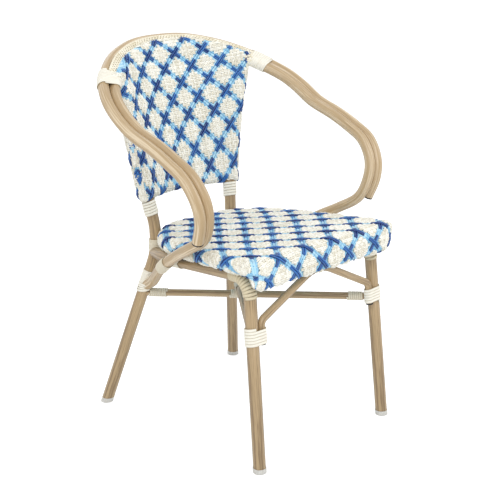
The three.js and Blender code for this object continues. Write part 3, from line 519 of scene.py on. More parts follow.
# the elbow sleeves' binding is the cream binding painted darker, as shade under the seat
shadedSleeveFinish = makeStrandFinish("shadedSleeveBinding", (234, 223, 194), (196, 182, 148), 0.5, 0.5, 0.25, 3.2)
plaitFinish = makeStrandFinish("creamPlait", (253, 248, 232), (214, 200, 160), 0.5, 0.5, 0.3, 2.1)
skyFinish = makeStrandFinish("skyBlueStrand", (184, 228, 250), (116, 184, 226), edge=0.3, half=3.15)
blueFinish = makeStrandFinish("deepBlueStrand", (48, 112, 186), (8, 36, 104), 0.26, edge=0.4, half=2.45)
bareFinish = makePlainFinish("brushedAluminium", (20, 700, 700), ((138, 138, 136), (178, 178, 176)),
                             (0.3, 0.25), 0.4, "grain", Metallic=0.85)
capFinish = makePlainFinish("blackCapPlastic", (900, 900, 900), ((20, 20, 22), (42, 42, 44)),
                            (0.35, 0.3), 0.5)
glideFinish = makePlainFinish("paleGlidePlastic", (240, 240, 240), ((205, 203, 196), (232, 231, 226)),
                              (0.25, 0.25), 0.3, Transmission_Weight=0.15)

# frame tubes

brace = {"radius": 8.2, "heights": {"low": (275.5, 285.5, -1), "high": (304.5, 290.0, 1)},
         "stubDirection": (-0.97, -0.25, 0), "stubSpacing": 22.0, "stubFoot": 276.0, "shoulder": 323.0,
         "shoulderBend": 18.0, "apex": (0.0, -240.0, 408.0), "crownBend": 90.0}
stubDirection = unit(vec(*brace["stubDirection"]))


def stubPoint(height):
    return atHeight(frontLegLine, height) + stubDirection * brace["stubSpacing"]


def stretcherLine(level):
    rearHeight, frontHeight, side = brace["heights"][level]
    rear, front = atHeight(rearLegLine, rearHeight), atHeight(frontLegLine, frontHeight)
    rear, front = rear * vec(side, 1, 1), front * vec(-side, 1, 1)
    return [rear + (front - rear) * k / 12 for k in range(13)]


archFoot, archShoulder = stubPoint(brace["stubFoot"]), stubPoint(brace["shoulder"])
archLine = bentLine([archFoot, archShoulder, vec(*brace["apex"]), *mirrored([archShoulder, archFoot])],
                    [brace["shoulderBend"], brace["crownBend"], brace["shoulderBend"]])


def cutLine(line, start, end):
    frames = framesOf(line)
    total = frames["length"][-1]
    end = total - end
    inner = [s for s in frames["length"] if start + 0.5 < s < end - 0.5]
    return list(frameAt(frames, [start] + inner + [end])["line"])


def onSide(side, line):
    return line if side == "left" else mirrored(line)


def tubePiece(name, node, line, radius, finish, slot, trims=None, **looks):
    heap = newHeap()
    addTube(heap, cutLine(line, *trims) if trims else line, radius, **looks)
    finishHeap(heap, name, finish, [node])


def makeFrame():
    # trims are lengths taken off a line's start and end, where it meets another tube
    dress = (caneFinish, "frame_tube")
    # tone paints light and shade into the cane colour: the arm hoops painted lighter as lit from above, the
    # legs and braces painted darker as in shade
    tubePiece("armHoop", "arm_hoop", armHoopLine, hoop["radius"], *dress, tone=0.7)
    tubePiece("innerHoop", "inner_hoop", innerHoopLine, hoop["radius"], *dress, (8.0, 8.0), tone=0.62)
    for side in ("left", "right"):
        for end, line, trims, tone in (("rear", rearLegLine, (3.4, 9.0), 0.27),
                                       ("front", frontLegLine, (3.4, 8.0), 0.25)):
            tubePiece(f"{end}Leg_{side}", f"{end}_leg_{side}", onSide(side, line), legs["radius"], *dress,
                      trims, tone=tone)
    for level in ("low", "high"):
        tubePiece(f"stretcher_{level}Bar", f"stretcher_{level}", stretcherLine(level), brace["radius"],
                  *dress, (9.0, 12.0), sides=20, tone=0.3)
    tubePiece("frontArchTube", "front_arch", archLine, brace["radius"], *dress, sides=20, tone=0.3)


makeFrame()
print("frame tubes stand")

# cream bindings: flat strand wound round the joints of the frame

wrap = {"gap": 0.6, "width": 4.6, "thick": 1.5, "pitch": 3.6, "steps": 22}
sleeveWrap = {"width": 7.8, "thick": 1.1, "pitch": 6.0}
braceWrap = {"width": 4.9, "pitch": 4.6}
# lengths before and after a winding's place on its tube; railEnd and curlEnd: height of the foot, length;
# braceRear and braceFront: distance from that end of the stretcher, length
wrapRuns = {"elbow": (3, 80), "railEnd": (376, 31), "curlEnd": (284, 50), "innerCrossing": (37, 16),
            "railCrossing": (42, 5), "braceCrossing": (22, 22), "braceRear": (15, 46), "braceFront": (61, 38)}


def windRound(heap, line, start, end, radius, **changes):
    # a strand wound round a tube, turn beside turn, between two lengths along its line
    plan = {**wrap, **changes}
    width, steps = plan["width"], plan["steps"]
    count = int(max(1.0, (end - start - width) / plan["pitch"]) * steps)
    angles = np.arange(count + 1) / steps * 2 * math.pi
    places = start + width / 2 + (end - start - width) * np.arange(count + 1) / count
    here = frameAt(framesOf(line), places)
    outward = np.cos(angles)[:, None] * here["side"] + np.sin(angles)[:, None] * here["over"]
    grow = radius + plan["gap"] + plan["thick"] / 2
    addStrand(heap, here["line"] + outward * grow, outward, width, plan["thick"], tone=random.random())


def beltPoints(first, second, spacing, steps, grow):
    # offsets (towards, aside) and outward directions round two tubes side by side
    lean = math.acos((first - second) / spacing)
    near = round(steps * 0.56)
    loop = [(first, 0.0, a) for a in np.linspace(lean, 2 * math.pi - lean, near)]
    loop += [(second, spacing, a) for a in np.linspace(-lean, lean, steps - near)]
    return [((r + grow) * math.cos(a) + c, (r + grow) * math.sin(a), math.cos(a), math.sin(a))
            for r, c, a in loop]


coil = {"width": 6.6, "thick": 2.2, "pitch": 6.4, "gap": 0.9, "uprightFoot": 458.2, "uprightTurns": 5.0,
        "braceFoot": 272.5, "braceTurns": 5.5}


def legCoil(side, line, foot, turns, belt):
    # the part's windings, with a wider strand and finer turns
    towards = onSide(side, [stubDirection])[0] if belt else vec(1, 0, 0)
    steps = 40
    grow = coil["gap"] + coil["thick"] / 2
    if belt:
        loop = beltPoints(legs["radius"], brace["radius"], brace["stubSpacing"], steps, grow)
    else:
        radius = legs["radius"] + grow
        loop = [(radius * math.cos(a), radius * math.sin(a), math.cos(a), math.sin(a))
                for a in np.arange(steps) / steps * 2 * math.pi]
    path, normals = [], []
    for i in range(int(turns * steps) + 1):
        height = foot + coil["width"] / 2 + coil["pitch"] * i / steps
        core = atHeight(line, height)
        along = unit(atHeight(line, height + 6) - atHeight(line, height - 6))
        facing = unit(towards - along * (towards @ along))
        aside = np.cross(along, facing)
        x, y, nx, ny = loop[i % steps]
        path.append(core + facing * x + aside * y)
        normals.append(facing * nx + aside * ny)
    heap = newHeap()
    addStrand(heap, path, normals, coil["width"], coil["thick"], 8, tone=0.6)
    return heap


def alongHoop(place):
    # place is counted in control points from the middle of the back
    middle = len(hoop["shares"]) - 1
    low = min(int(math.floor(place + middle)), len(hoopControls) - 2)
    share = place + middle - low
    station = (place + middle) * stationsPerControl
    index = min(int(math.floor(station)), len(armHoopLine) - 2)
    point = armHoopLine[index] + (armHoopLine[index + 1] - armHoopLine[index]) * (station - index)
    along = unit(armHoopLine[index + 1] - armHoopLine[index])
    inward = hoopInwards[low] * (1 - share) + hoopInwards[low + 1] * share
    inward = unit(inward - along * (inward @ along))
    return point, inward, unit(np.cross(inward, along))


cuff = {"from": 3.1, "to": 4.1, "turns": 9, "width": 6.2, "thick": 2.0, "lean": 0.2}


def makeCuff(side):
    # flat strand wound round both tubes of the hoop
    heap = newHeap()
    steps = 36
    grow = 0.5 + cuff["thick"] / 2
    loop = beltPoints(hoop["radius"], hoop["radius"], hoop["pairSpacing"], steps, grow)
    total = cuff["turns"] * steps
    path, normals = [], []
    for i in range(total + 1):
        point, inward, up = alongHoop(cuff["from"] + 0.05 + (cuff["to"] - cuff["from"] - 0.1) * i / total)
        x, y, nx, ny = loop[i % steps]
        lean = cuff["lean"] * (hoop["pairSpacing"] / 2 - x)
        path.append(point + inward * x + up * y + np.cross(up, inward) * lean)
        normals.append(inward * nx + up * ny)
    path, normals = onSide(side, path), onSide(side, normals)
    addStrand(heap, path, normals, cuff["width"], cuff["thick"], 8, tone=0.6)
    finishHeap(heap, f"cuff_{side}Strand", cordFinish, [f"cuff_{side}"])


def lengthAtHeight(line, height):
    run = 0.0
    for a, b in zip(line, line[1:]):
        if (a[2] - height) * (b[2] - height) <= 0 and a[2] != b[2]:
            return run + np.linalg.norm(b - a) * (height - a[2]) / (b[2] - a[2])
        run += np.linalg.norm(b - a)
    return run


def nearest(first, second):
    # lengths along two lines at which they pass closest
    one, two = framesOf(first), framesOf(second)
    s, t = np.linspace(0, one["length"][-1], 500), np.linspace(0, two["length"][-1], 500)
    gaps = np.linalg.norm(frameAt(one, s)["line"][:, None] - frameAt(two, t)["line"][None], axis=2)
    i, j = np.unravel_index(np.argmin(gaps), gaps.shape)
    return s[i], t[j]


curlBelt = {"turns": 4.4, "foot": 281.0, "pitch": 5.0, "grow": 2.2, "width": 5.9, "thick": 1.5,
            "steps": 40, "leastSpacing": 2.0}


def beltCurlEnd(heap, rear, inner):
    # a few turns that hold the inner tube's end against the rear leg
    steps, frames = curlBelt["steps"], framesOf(inner)
    foot, upward = frames["line"][-1], -frames["along"][-1]
    facing = unit(upward * vec(1, 1, 0))
    aside = vec(-facing[1], facing[0], 0)
    run = math.hypot(upward[0], upward[1]) / upward[2]
    path, normals = [], []
    for i in range(int(curlBelt["turns"] * steps) + 1):
        height = curlBelt["foot"] + curlBelt["pitch"] * i / steps
        spacing = max(curlBelt["leastSpacing"], run * (height - foot[2]))
        belt = beltPoints(legs["radius"], hoop["radius"], spacing, steps, curlBelt["grow"])
        x, y, nx, ny = belt[i % steps]
        path.append(atHeight(rear, height) + facing * x + aside * y)
        normals.append(facing * nx + aside * ny)
    addStrand(heap, path, normals, curlBelt["width"], curlBelt["thick"], tone=0.6)


def wrapPiece(name, node, windings, finish=None, belt=None, **changes):
    # windings: line, start, end and radius of each
    heap = newHeap()
    for winding in windings:
        windRound(heap, *winding, **changes)
    if belt:
        beltCurlEnd(heap, *belt)
    finishHeap(heap, name, finish or cordFinish, [node])


def around(line, place, name, radius):
    before, after = wrapRuns[name]
    return line, place - before, place + after, radius


def fromHeight(line, name, radius):
    height, length = wrapRuns[name]
    start = lengthAtHeight(line, height)
    return line, start, start + length, radius


def makeBindings():
    leg, bar = legs["radius"], brace["radius"]
    for side in ("left", "right"):
        rear, front, inner = (onSide(side, line) for line in (rearLegLine, frontLegLine, innerHoopLine))
        finishHeap(legCoil(side, rear, coil["uprightFoot"], coil["uprightTurns"], False),
                   f"uprightCoil_{side}", cordFinish, [f"upright_binding_{side}"])
        finishHeap(legCoil(side, front, coil["braceFoot"], coil["braceTurns"], True),
                   f"archCoil_{side}", cordFinish, [f"arch_binding_{side}"])
        makeCuff(side)
        elbowLength = lengthAtHeight(front, legs["elbow"][2] - legs["frontBends"][0])
        # the elbow sleeves take the binding painted darker as shade under the seat
        wrapPiece(f"elbowWrap_{side}", f"elbow_binding_{side}", [around(front, elbowLength, "elbow", leg)],
                  shadedSleeveFinish, **sleeveWrap)
        wrapPiece(f"railEndWrap_{side}", f"rail_end_binding_{side}", [fromHeight(rear, "railEnd", leg)])
        wrapPiece(f"curlEndWrap_{side}", f"curl_end_binding_{side}", [fromHeight(rear, "curlEnd", leg)],
                  belt=(rear, inner))
        onInner, onFront = nearest(inner, front)
        wrapPiece(f"crossingWrap_{side}", f"crossing_binding_{side}",
                  [around(inner, onInner, "innerCrossing", hoop["radius"]),
                   around(front, onFront, "railCrossing", leg)])
    lines = {level: stretcherLine(level) for level in ("low", "high")}
    for level, line in lines.items():
        starts = {"rear": wrapRuns["braceRear"][0], "front": lengthsOf(line)[-1] - wrapRuns["braceFront"][0]}
        for end, start in starts.items():
            length = wrapRuns[f"brace{end.capitalize()}"][1]
            wrapPiece(f"stretcher_{level}_{end}Wrap", f"stretcher_{level}_{end}_binding",
                      [(line, start, start + length, bar)], **braceWrap)
    places = nearest(lines["low"], lines["high"])
    wrapPiece("stretcherCrossWrap", "stretcher_cross_binding",
              [around(line, place, "braceCrossing", bar) for line, place in zip(lines.values(), places)],
              **braceWrap)


braid = {"start": 5.0, "end": 3.22, "lift": 1.7, "strand": 4.2, "thick": 1.6, "strands": 9, "innerTurn": 84.0}


def braidSpot(point, inward, up, reach, lift):
    # a place on the skin that runs forward over both tubes, at a share of its way inward
    radius = hoop["radius"] + lift
    bridge = hoop["pairSpacing"] - braid["start"]
    place = reach * (bridge + radius * math.radians(braid["innerTurn"]))
    angle = math.pi / 2 - max(0.0, place - bridge) / radius
    centre = braid["start"] + min(place, bridge)
    out = inward * math.cos(angle) + up * math.sin(angle)
    return point + inward * centre + out * radius, out


def makeBraid():
    # an open plait of flat cream strands between the outer tube and the woven back
    count = 620
    spots = [alongHoop(braid["end"] * (2 * k / count - 1)) for k in range(count + 1)]
    places = lengthsOf([s[0] for s in spots])
    turned = (hoop["radius"] + braid["lift"]) * math.radians(braid["innerTurn"])
    wide = turned + hoop["pairSpacing"] - braid["start"]
    heap = newHeap()
    for k in range(braid["strands"]):
        path, normals = [], []
        for (point, inward, up), place in zip(spots, places):
            phase = (place / (2 * wide) + k / braid["strands"]) % 1.0
            reach = 0.03 + 0.94 * (2 * phase if phase < 0.5 else 2 - 2 * phase)
            weaving = 0.8 * math.cos(2 * math.pi * phase * braid["strands"])
            spot, out = braidSpot(point, inward, up, reach, braid["lift"] + weaving)
            path.append(spot)
            normals.append(out)
        addStrand(heap, path, normals, braid["strand"], braid["thick"], 6, tone=0.3 + 0.06 * k)
    for reach in (0.02, 0.97):
        path, normals = zip(*(braidSpot(p, i, u, reach, braid["lift"]) for p, i, u in spots))
        addStrand(heap, path, normals, 3.4, 2.4, 6, tone=0.5)
    finishHeap(heap, "edgeBraidPlait", plaitFinish, ["edge_braid"])


makeBindings()
makeBraid()
print("bindings are wound")

# caps and glides

cap = {"thick": 2.4, "round": 0.8, "standOff": 0.3}
glide = {"height": 11.0, "wall": 1.1, "floor": 0.05, "lip": 0.9, "depth": 7.6, "round": 0.5}


def turnedPiece(name, sides, radius, height, lift, cutTop, rim, segments):
    # a short round piece whose top face is cut as asked, with softened rims
    bpy.ops.object.select_all(action="DESELECT")
    bpy.ops.mesh.primitive_cylinder_add(vertices=sides, radius=radius * mm, depth=height * mm,
                                        location=(0, 0, lift * mm))
    piece = bpy.context.object
    piece.name = name
    bpy.ops.object.transform_apply(location=True, rotation=True, scale=True)
    bpy.ops.object.mode_set(mode="EDIT")
    bpy.ops.mesh.select_all(action="DESELECT")
    bpy.ops.mesh.select_mode(type="FACE")
    bpy.ops.object.mode_set(mode="OBJECT")
    for face in piece.data.polygons:
        face.select = face.normal.z > 0.9
    bpy.ops.object.mode_set(mode="EDIT")
    cutTop()
    bpy.ops.mesh.select_all(action="DESELECT")
    bpy.ops.object.mode_set(mode="OBJECT")
    bevel = piece.modifiers.new("softRim", "BEVEL")
    bevel.width = rim * mm
    bevel.segments = segments
    bevel.limit_method = "ANGLE"
    bpy.ops.object.modifier_apply(modifier=bevel.name)
    bpy.ops.object.shade_smooth_by_angle(angle=math.radians(40))
    return piece


def makeCap(name, node, end, inside, radius):
    def dimple():
        bpy.ops.mesh.inset(thickness=radius * 0.28 * mm)
        bpy.ops.mesh.inset(thickness=radius * 0.05 * mm, depth=-0.3 * mm)
    piece = turnedPiece(name, 40, radius, cap["thick"], 0, dimple, cap["round"], 3)
    out = unit(end - inside)
    turnAxis = np.cross(vec(0, 0, 1), out)
    length = np.linalg.norm(turnAxis)
    piece.rotation_mode = "AXIS_ANGLE"
    piece.rotation_axis_angle = (math.acos(max(-1, min(1, out[2]))),
                                 *(turnAxis / length if length > 1e-6 else vec(1, 0, 0)))
    piece.location = (end + out * (cap["standOff"] + cap["thick"] / 2)) * mm
    bpy.ops.object.transform_apply(location=True, rotation=True, scale=True)
    piece.data.materials.append(capFinish)
    settle(piece, [node])


def makeGlide(name, node, line):
    def hollow():
        bpy.ops.mesh.inset(thickness=glide["lip"] * mm)
        bpy.ops.mesh.extrude_region_move(TRANSFORM_OT_translate={"value": (0, 0, -glide["depth"] * mm)})
    height = glide["height"]
    ankle, foot = atHeight(line, height), atHeight(line, glide["floor"])
    radius = legs["radius"] + glide["wall"]
    piece = turnedPiece(name, 44, radius, height, height / 2, hollow, glide["round"], 2)
    for vertex in piece.data.vertices:  # the walls lean with the leg, the base stays flat
        shift = (foot + (ankle - foot) * vertex.co.z / (height * mm)) * mm
        vertex.co.x += shift[0]
        vertex.co.y += shift[1]
    piece.data.materials.append(glideFinish)
    settle(piece, [node])


def makeEnds():
    for side in ("left", "right"):
        tip, inside = onSide(side, [armHoopLine[-1], armHoopLine[-2]])
        makeCap(f"armCap_{side}", f"arm_cap_{side}", tip, inside, hoop["radius"])
        foot, above = onSide(side, [archLine[0], archLine[1]])
        makeCap(f"archCap_{side}", f"arch_cap_{side}", foot, above, brace["radius"])
        for end, line in (("rear", rearLegLine), ("front", frontLegLine)):
            makeGlide(f"glide_{end}_{side}Shoe", f"glide_{end}_{side}", onSide(side, line))


makeEnds()
print("caps and glides are on")

# hidden frame of the seat and back

seatTube = {"radius": 9.5, "lipBar": 3.4, "lipReach": 179.2, "crossBar": 7.0, "crossShares": (0.36, 0.66),
            "crossTrim": 9.0, "skin": 4.7, "gap": 0.3, "railRadius": 12.0, "railTrim": 13.0}
outlineSteps = 24

# the seat's outline as a fine loop, with the direction inward and the share of the front lip
ringCount = len(outlineLoop) * outlineSteps
outlinePoints = np.array([splinePoint(outlineLoop, k / ringCount, True) for k in range(ringCount)])
outlineAlong = np.roll(outlinePoints, -1, axis=0) - np.roll(outlinePoints, 1, axis=0)
outlineInward = np.stack([-outlineAlong[:, 1], outlineAlong[:, 0], np.zeros(ringCount)], axis=1)
outlineInward /= np.linalg.norm(outlineInward, axis=1)[:, None]
cornerHub = vec(seat["halfWidth"] - 40, seat["frontY"] + 33, 0)  # the front corners fan out from here


def inCorner(points):
    return (np.abs(points[:, 0]) > cornerHub[0]) & (points[:, 1] < cornerHub[1])


fanStations = np.nonzero(inCorner(outlinePoints))[0]
for k in fanStations:
    hub = cornerHub * vec(math.copysign(1, outlinePoints[k][0]), 1, 1)
    outlineInward[k] = unit(hub - outlinePoints[k])
lipShares = np.interp(np.arange(ringCount) / outlineSteps, range(len(outlineLoop) + 1),
                      outlineLips + outlineLips[:1])
ringPoints = outlinePoints + outlineInward * seat["rim"]
seatMiddle = vec(0, seat["frontY"] + seat["length"] / 2, 0)
ringAngles = np.unwrap(np.arctan2(ringPoints[:, 1] - seatMiddle[1], ringPoints[:, 0]))
ringReach = np.linalg.norm(ringPoints - seatMiddle, axis=1)
if ringAngles[-1] < ringAngles[0]:
    ringAngles, ringReach = ringAngles[::-1], ringReach[::-1]


rollAngles = np.radians(np.linspace(0, 205, 42))
rimCurve = seat["rim"] * np.stack([1 - np.sin(rollAngles), 1 - np.cos(rollAngles)], axis=1)
lipRound = seat["lipThickness"] / 2
lipFoot = seat["lipDepth"] - lipRound
shoulder = seat["rim"] * np.array([(1 - math.sin(a), 1 - math.cos(a))
                                   for a in np.radians(np.linspace(0, 90, 16))])
drop = np.array([(0, z) for z in np.linspace(seat["rim"] + 3, lipFoot, 10)])
underside = np.array([(lipRound * (1 - math.cos(a)), lipFoot + lipRound * math.sin(a))
                      for a in np.radians(np.linspace(8, 180, 20))])
lipCurve = np.concatenate([shoulder, drop, underside])
rimArc, lipArc = lengthsOf(rimCurve), lengthsOf(lipCurve)
slopeStep = 0.8  # half the length over which a roll's slope is read


def rollAt(e, lip):
    # inset and drop of the seat's skin at a length e past its flat top, with the slope of the skin
    def both(e):
        rim = np.stack([np.interp(e, rimArc, rimCurve[:, k]) for k in range(2)], axis=-1)
        front = np.stack([np.interp(e, lipArc, lipCurve[:, k]) for k in range(2)], axis=-1)
        return rim * (1 - lip[:, None]) + front * lip[:, None]
    here, step = both(e), both(e + slopeStep) - both(np.maximum(e - slopeStep, 0))
    return here, np.arctan2(step[:, 1], -step[:, 0])


def seatSurface(x, y, lift):
    # a place on the seat, from flat coordinates that run on over the rim
    x, y, lift = np.broadcast_arrays(*(np.asarray(v, float) for v in (x, y, lift)))
    flat = np.stack([x.ravel(), y.ravel(), np.zeros(x.size)], axis=1)
    closest = np.argmin(((flat[:, None, :2] - ringPoints[None, :, :2]) ** 2).sum(axis=2), axis=1)
    hubs = cornerHub * np.stack([np.sign(flat[:, 0]), np.ones(len(flat)), np.ones(len(flat))], axis=1)
    spokes = flat - hubs
    fanned = inCorner(flat)
    closest[fanned] = fanStations[np.argmax(-spokes[fanned] @ outlineInward[fanStations].T, axis=1)]
    ring, inward, lip = ringPoints[closest], outlineInward[closest], lipShares[closest]
    beyond = -((flat - ring) * inward).sum(axis=1)
    aside = np.stack([-inward[:, 1], inward[:, 0], inward[:, 2]], axis=1)
    slip = np.where(fanned, 0, ((flat - ring) * aside).sum(axis=1))
    outline = outlinePoints[closest] + aside * slip[:, None]
    insetDrop, slope = rollAt(np.maximum(beyond, 0), lip)
    angle = np.arctan2(flat[:, 1] - seatMiddle[1], flat[:, 0])
    angle = np.where(angle < ringAngles[0], angle + 2 * math.pi, angle)
    share = np.linalg.norm(flat - seatMiddle, axis=1) / np.interp(angle, ringAngles, ringReach)
    share = np.clip(share, 0, 1)
    onTop = beyond <= 0
    place = np.where(onTop[:, None], flat, outline + inward * insetDrop[:, :1])
    place[:, 2] = seatTop(place[:, 1]) - np.where(onTop, seat["dish"] * (1 - share ** 2), insetDrop[:, 1])
    slope = np.where(onTop, 0.0, slope)
    normal = -inward * np.sin(slope)[:, None] + np.stack(
        [np.zeros(len(slope)), seat["slope"] * np.cos(slope), np.cos(slope)], axis=1)
    normal /= np.linalg.norm(normal, axis=1)[:, None]
    place = place + normal * lift.ravel()[:, None]
    limit = rimArc[-1] * (1 - lip) + lipArc[-1] * lip
    return place.reshape(*x.shape, 3), normal.reshape(*x.shape, 3), (beyond / limit).reshape(x.shape)


cornerSpread = (15.0, -3.0)  # how far the back's upper corners reach out at negative and at positive x
cornerStart = 0.78  # share of the back's height from which they do


def cornerReach(x, v):
    return np.where(x < 0, *cornerSpread) * np.clip((v - cornerStart) / (1 - cornerStart), 0, 1) ** 2


def panelHalf(v):
    return panel["footHalf"] + (panel["topHalf"] - panel["footHalf"]) * v - 4 * v * (1 - v) * panel["bow"]


def panelSurface(x, z, lift, facing):
    # a place on the back's front (facing 1) or rear (-1) skin; its field rolls over the frame tubes
    x, z, lift = (np.asarray(v, float).ravel() for v in np.broadcast_arrays(x, z, lift))
    tops = innerHeights(np.clip(x / firstHalf, -1, 1))
    v = (z - panel["footHeight"]) / (tops - panel["footHeight"])
    for _ in range(3):  # the half width and the height at x depend on each other
        half = panelHalf(np.clip(v, 0, 1))
        tops = innerHeights(np.clip(x / half, -1, 1))
        v = (z - panel["footHeight"]) / (tops - panel["footHeight"])
    height = tops - panel["footHeight"]
    reach = half + cornerReach(x, v)
    sideways = rollOver(reach - np.abs(x), sideRoll)
    upper = rollOver((1 - v) * height, topRoll)
    lower = rollOver(v * height, footRoll)
    u = np.sign(x) * (reach - sideways[0]) / half
    v = np.where(v > 0.5, 1 - upper[0] / height, lower[0] / height)
    vertical = np.where(v > 0.5, upper[1], lower[1])
    slopeV = np.where(v > 0.5, upper[2], lower[2])
    high = np.maximum(sideways[1], vertical)
    low = np.minimum(sideways[1], vertical)
    offset = np.where(low < fieldOffset, low, high)
    middle, normal, across, upward = panelGrid(u, v)
    normal, outAcross = normal * facing, across * np.sign(x)[:, None]
    outUp = upward * np.where(v > 0.5, 1.0, -1.0)[:, None]
    lean = (outAcross * np.sin(sideways[2])[:, None] + outUp * np.sin(slopeV)[:, None]
            + normal * (np.cos(sideways[2]) * np.cos(slopeV))[:, None])
    lean /= np.linalg.norm(lean, axis=1)[:, None]
    place = middle + normal * offset[:, None] + lean * lift[:, None]
    past = np.maximum.reduce([sideways[3], upper[3], lower[3]])
    return place, lean, past


firstHalf = 172  # first guess of the back's half width
panelUs, panelVs = np.linspace(-1.2, 1.2, 61), np.linspace(-0.12, 1.12, 41)


def extendedPanel(u, v):
    # the middle surface runs on a little past its edges
    step = 0.05
    cu, cv = max(-1, min(1, u)), max(0, min(1, v))
    point = edge = panelPoint(cu, cv)
    if u != cu:
        point = point + (edge - panelPoint(cu - math.copysign(step, cu), cv)) * abs(u - cu) / step
    if v != cv:
        point = point + (edge - panelPoint(cu, cv - math.copysign(step, cv - 0.5))) * abs(v - cv) / step
    return point


panelTable = np.array([[extendedPanel(u, v) for v in panelVs] for u in panelUs])
acrossTable = np.gradient(panelTable, panelUs, axis=0)
acrossTable /= np.linalg.norm(acrossTable, axis=2)[..., None]
upTable = np.gradient(panelTable, panelVs, axis=1)
upTable /= np.linalg.norm(upTable, axis=2)[..., None]
normalTable = np.cross(acrossTable, upTable)
normalTable /= np.linalg.norm(normalTable, axis=2)[..., None]
edgeUs = np.linspace(-1, 1, 81)
edgeTops = np.array([innerAt(u * panel["topHalf"])[2] for u in edgeUs])


def innerHeights(u):
    return np.interp(u, edgeUs, edgeTops)


def panelGrid(u, v):
    i = np.clip((u - panelUs[0]) / (panelUs[1] - panelUs[0]), 0, len(panelUs) - 1.001)
    j = np.clip((v - panelVs[0]) / (panelVs[1] - panelVs[0]), 0, len(panelVs) - 1.001)
    i0, j0 = i.astype(int), j.astype(int)
    fi, fj = (i - i0)[:, None], (j - j0)[:, None]
    found = []
    for table in (panelTable, normalTable, acrossTable, upTable):
        value = ((table[i0, j0] * (1 - fi) + table[i0 + 1, j0] * fi) * (1 - fj)
                 + (table[i0, j0 + 1] * (1 - fi) + table[i0 + 1, j0 + 1] * fi) * fj)
        found.append(value)
    return found


fieldOffset = 15.4  # half the thickness of the back's woven field


def makeRoll(radius, start, endAngle):
    # distance from the tube's axis and height over the middle surface, along the skin
    angles = np.radians(np.linspace(-4, endAngle, 36))
    circle = np.stack([-radius * np.sin(angles), radius * np.cos(angles)], axis=1)
    lead = np.linspace(0, 1, 24)[:-1]
    rise = circle[0, 1] - fieldOffset
    slope = -math.tan(angles[0]) * (start - circle[0, 0])
    height = fieldOffset + (3 * rise - slope) * lead ** 2 + (slope - 2 * rise) * lead ** 3
    ramp = np.stack([start + (circle[0, 0] - start) * lead, height], axis=1)
    curve = np.concatenate([ramp, circle])
    return {"curve": curve, "arc": lengthsOf(curve), "start": start}


sideRoll = makeRoll(17.4, 44.0, 118)
topRoll = makeRoll(16.2, 40.0, 66)
footRoll = makeRoll(16.2, 40.0, 112)


def rollOver(distance, roll):
    # distance inside the tube's axis, height, slope, and how far round the roll
    arc, total = roll["start"] - distance, roll["arc"][-1]
    inside = arc <= 0

    def along(e, k):
        return np.interp(np.clip(e, 0, total), roll["arc"], roll["curve"][:, k])
    e = np.clip(arc, 0, total)
    rise = along(e + slopeStep, 1) - along(e - slopeStep, 1)
    run = along(e - slopeStep, 0) - along(e + slopeStep, 0)
    slope = np.arctan2(-rise, np.where(inside, 1.0, run))
    return (np.where(inside, distance, along(e, 0)), np.where(inside, fieldOffset, along(e, 1)),
            np.where(inside, 0.0, slope), arc / total)


# the weave: blue crosses and cream flowers, set out on a staggered lattice

weave = {"creamWidth": 3.7, "creamThick": 3.6, "pairPitch": 7.6, "pairGap": 3.3, "wave": 0.95, "bulge": 1.1,
         "shortest": 4.5, "blueWidth": 4.9, "blueThick": 3.6, "blueReach": 0.35, "blueAside": 2.5,
         "squeezedReach": 0.15, "skyWidth": 6.3, "skyThick": 1.9, "skyPitch": 6.0, "skyLift": -0.3,
         "groundLift": -1.1}
# both lattices count columns n and rows r; column and row sum is even at a blue cross; the lengths are
# the leading terms of a program's fit to the crosses of the photograph, rounded
seatLattice = {"across": 102.0, "column": 35.0, "fan": 1.3, "lean": 4.4, "leanFade": 0.6,
               "crowd": 1.1, "crowdFade": 0.12, "sideCrowd": 0.06,
               "along": 12.0, "row": 41.0, "rowGrowth": 0.44, "slope": -2.8, "twist": 0.34, "bow": -0.56}
lip = {"row": 5, "column": 41.5, "edgeAcross": 100.0, "edge": -258.0, "cornerColumn": -5, "cornerFall": 9.0,
       "faceAcross": 108.0, "face": -298.5, "faceSlope": 1.6, "underStep": 48.0}
backLattice = {"across": 15.0, "column": 42.3, "fan": -1.3, "lean": 8.8, "leanFade": 0.53,
               "crowd": 0.42, "crowdFade": -0.02, "sideCrowd": 0.11,
               "along": 808.0, "row": 33.2, "rowGrowth": 0.8, "slope": 1.0, "twist": 0.05, "bow": 0.66}


def latticePlace(plan, n, r):
    # columns fan and lean row by row and crowd towards one side; rows grow, slope and bow
    column = (plan["column"] + plan["fan"] * r) * n
    lean = (plan["lean"] - plan["leanFade"] * r) * r
    crowd = (plan["crowd"] - plan["crowdFade"] * r) * n ** 2 + plan["sideCrowd"] * n ** 3
    row = (plan["row"] + plan["rowGrowth"] * r) * r
    tilt = (plan["slope"] + plan["twist"] * r) * n + plan["bow"] * n ** 2
    return plan["across"] + column + lean - crowd, plan["along"] - row + tilt


def seatSpot(n, r, lift):
    n, r = (np.asarray(v, float) for v in (n, r))
    x, y = latticePlace(seatLattice, n, np.minimum(r, lip["row"]))
    corner = np.maximum(lip["cornerColumn"] - n, 0)
    edge = (lip["edgeAcross"] + lip["column"] * n, lip["edge"] - lip["cornerFall"] * corner)
    face = (lip["faceAcross"] + lip["column"] * n, lip["face"] + lip["faceSlope"] * n)
    for start, (rowX, rowY) in ((lip["row"], edge), (lip["row"] + 1, face)):
        share = np.clip(r - start, 0, 1)
        x, y = x + (rowX - x) * share, y + (rowY - y) * share
    return seatSurface(x, y - lip["underStep"] * np.maximum(r - lip["row"] - 2, 0), lift)


def backSpot(n, r, lift, facing):
    n, r = (np.asarray(v, float) for v in (n, r))
    x, z = latticePlace(backLattice, n, r)
    return panelSurface(x, z, lift, facing)


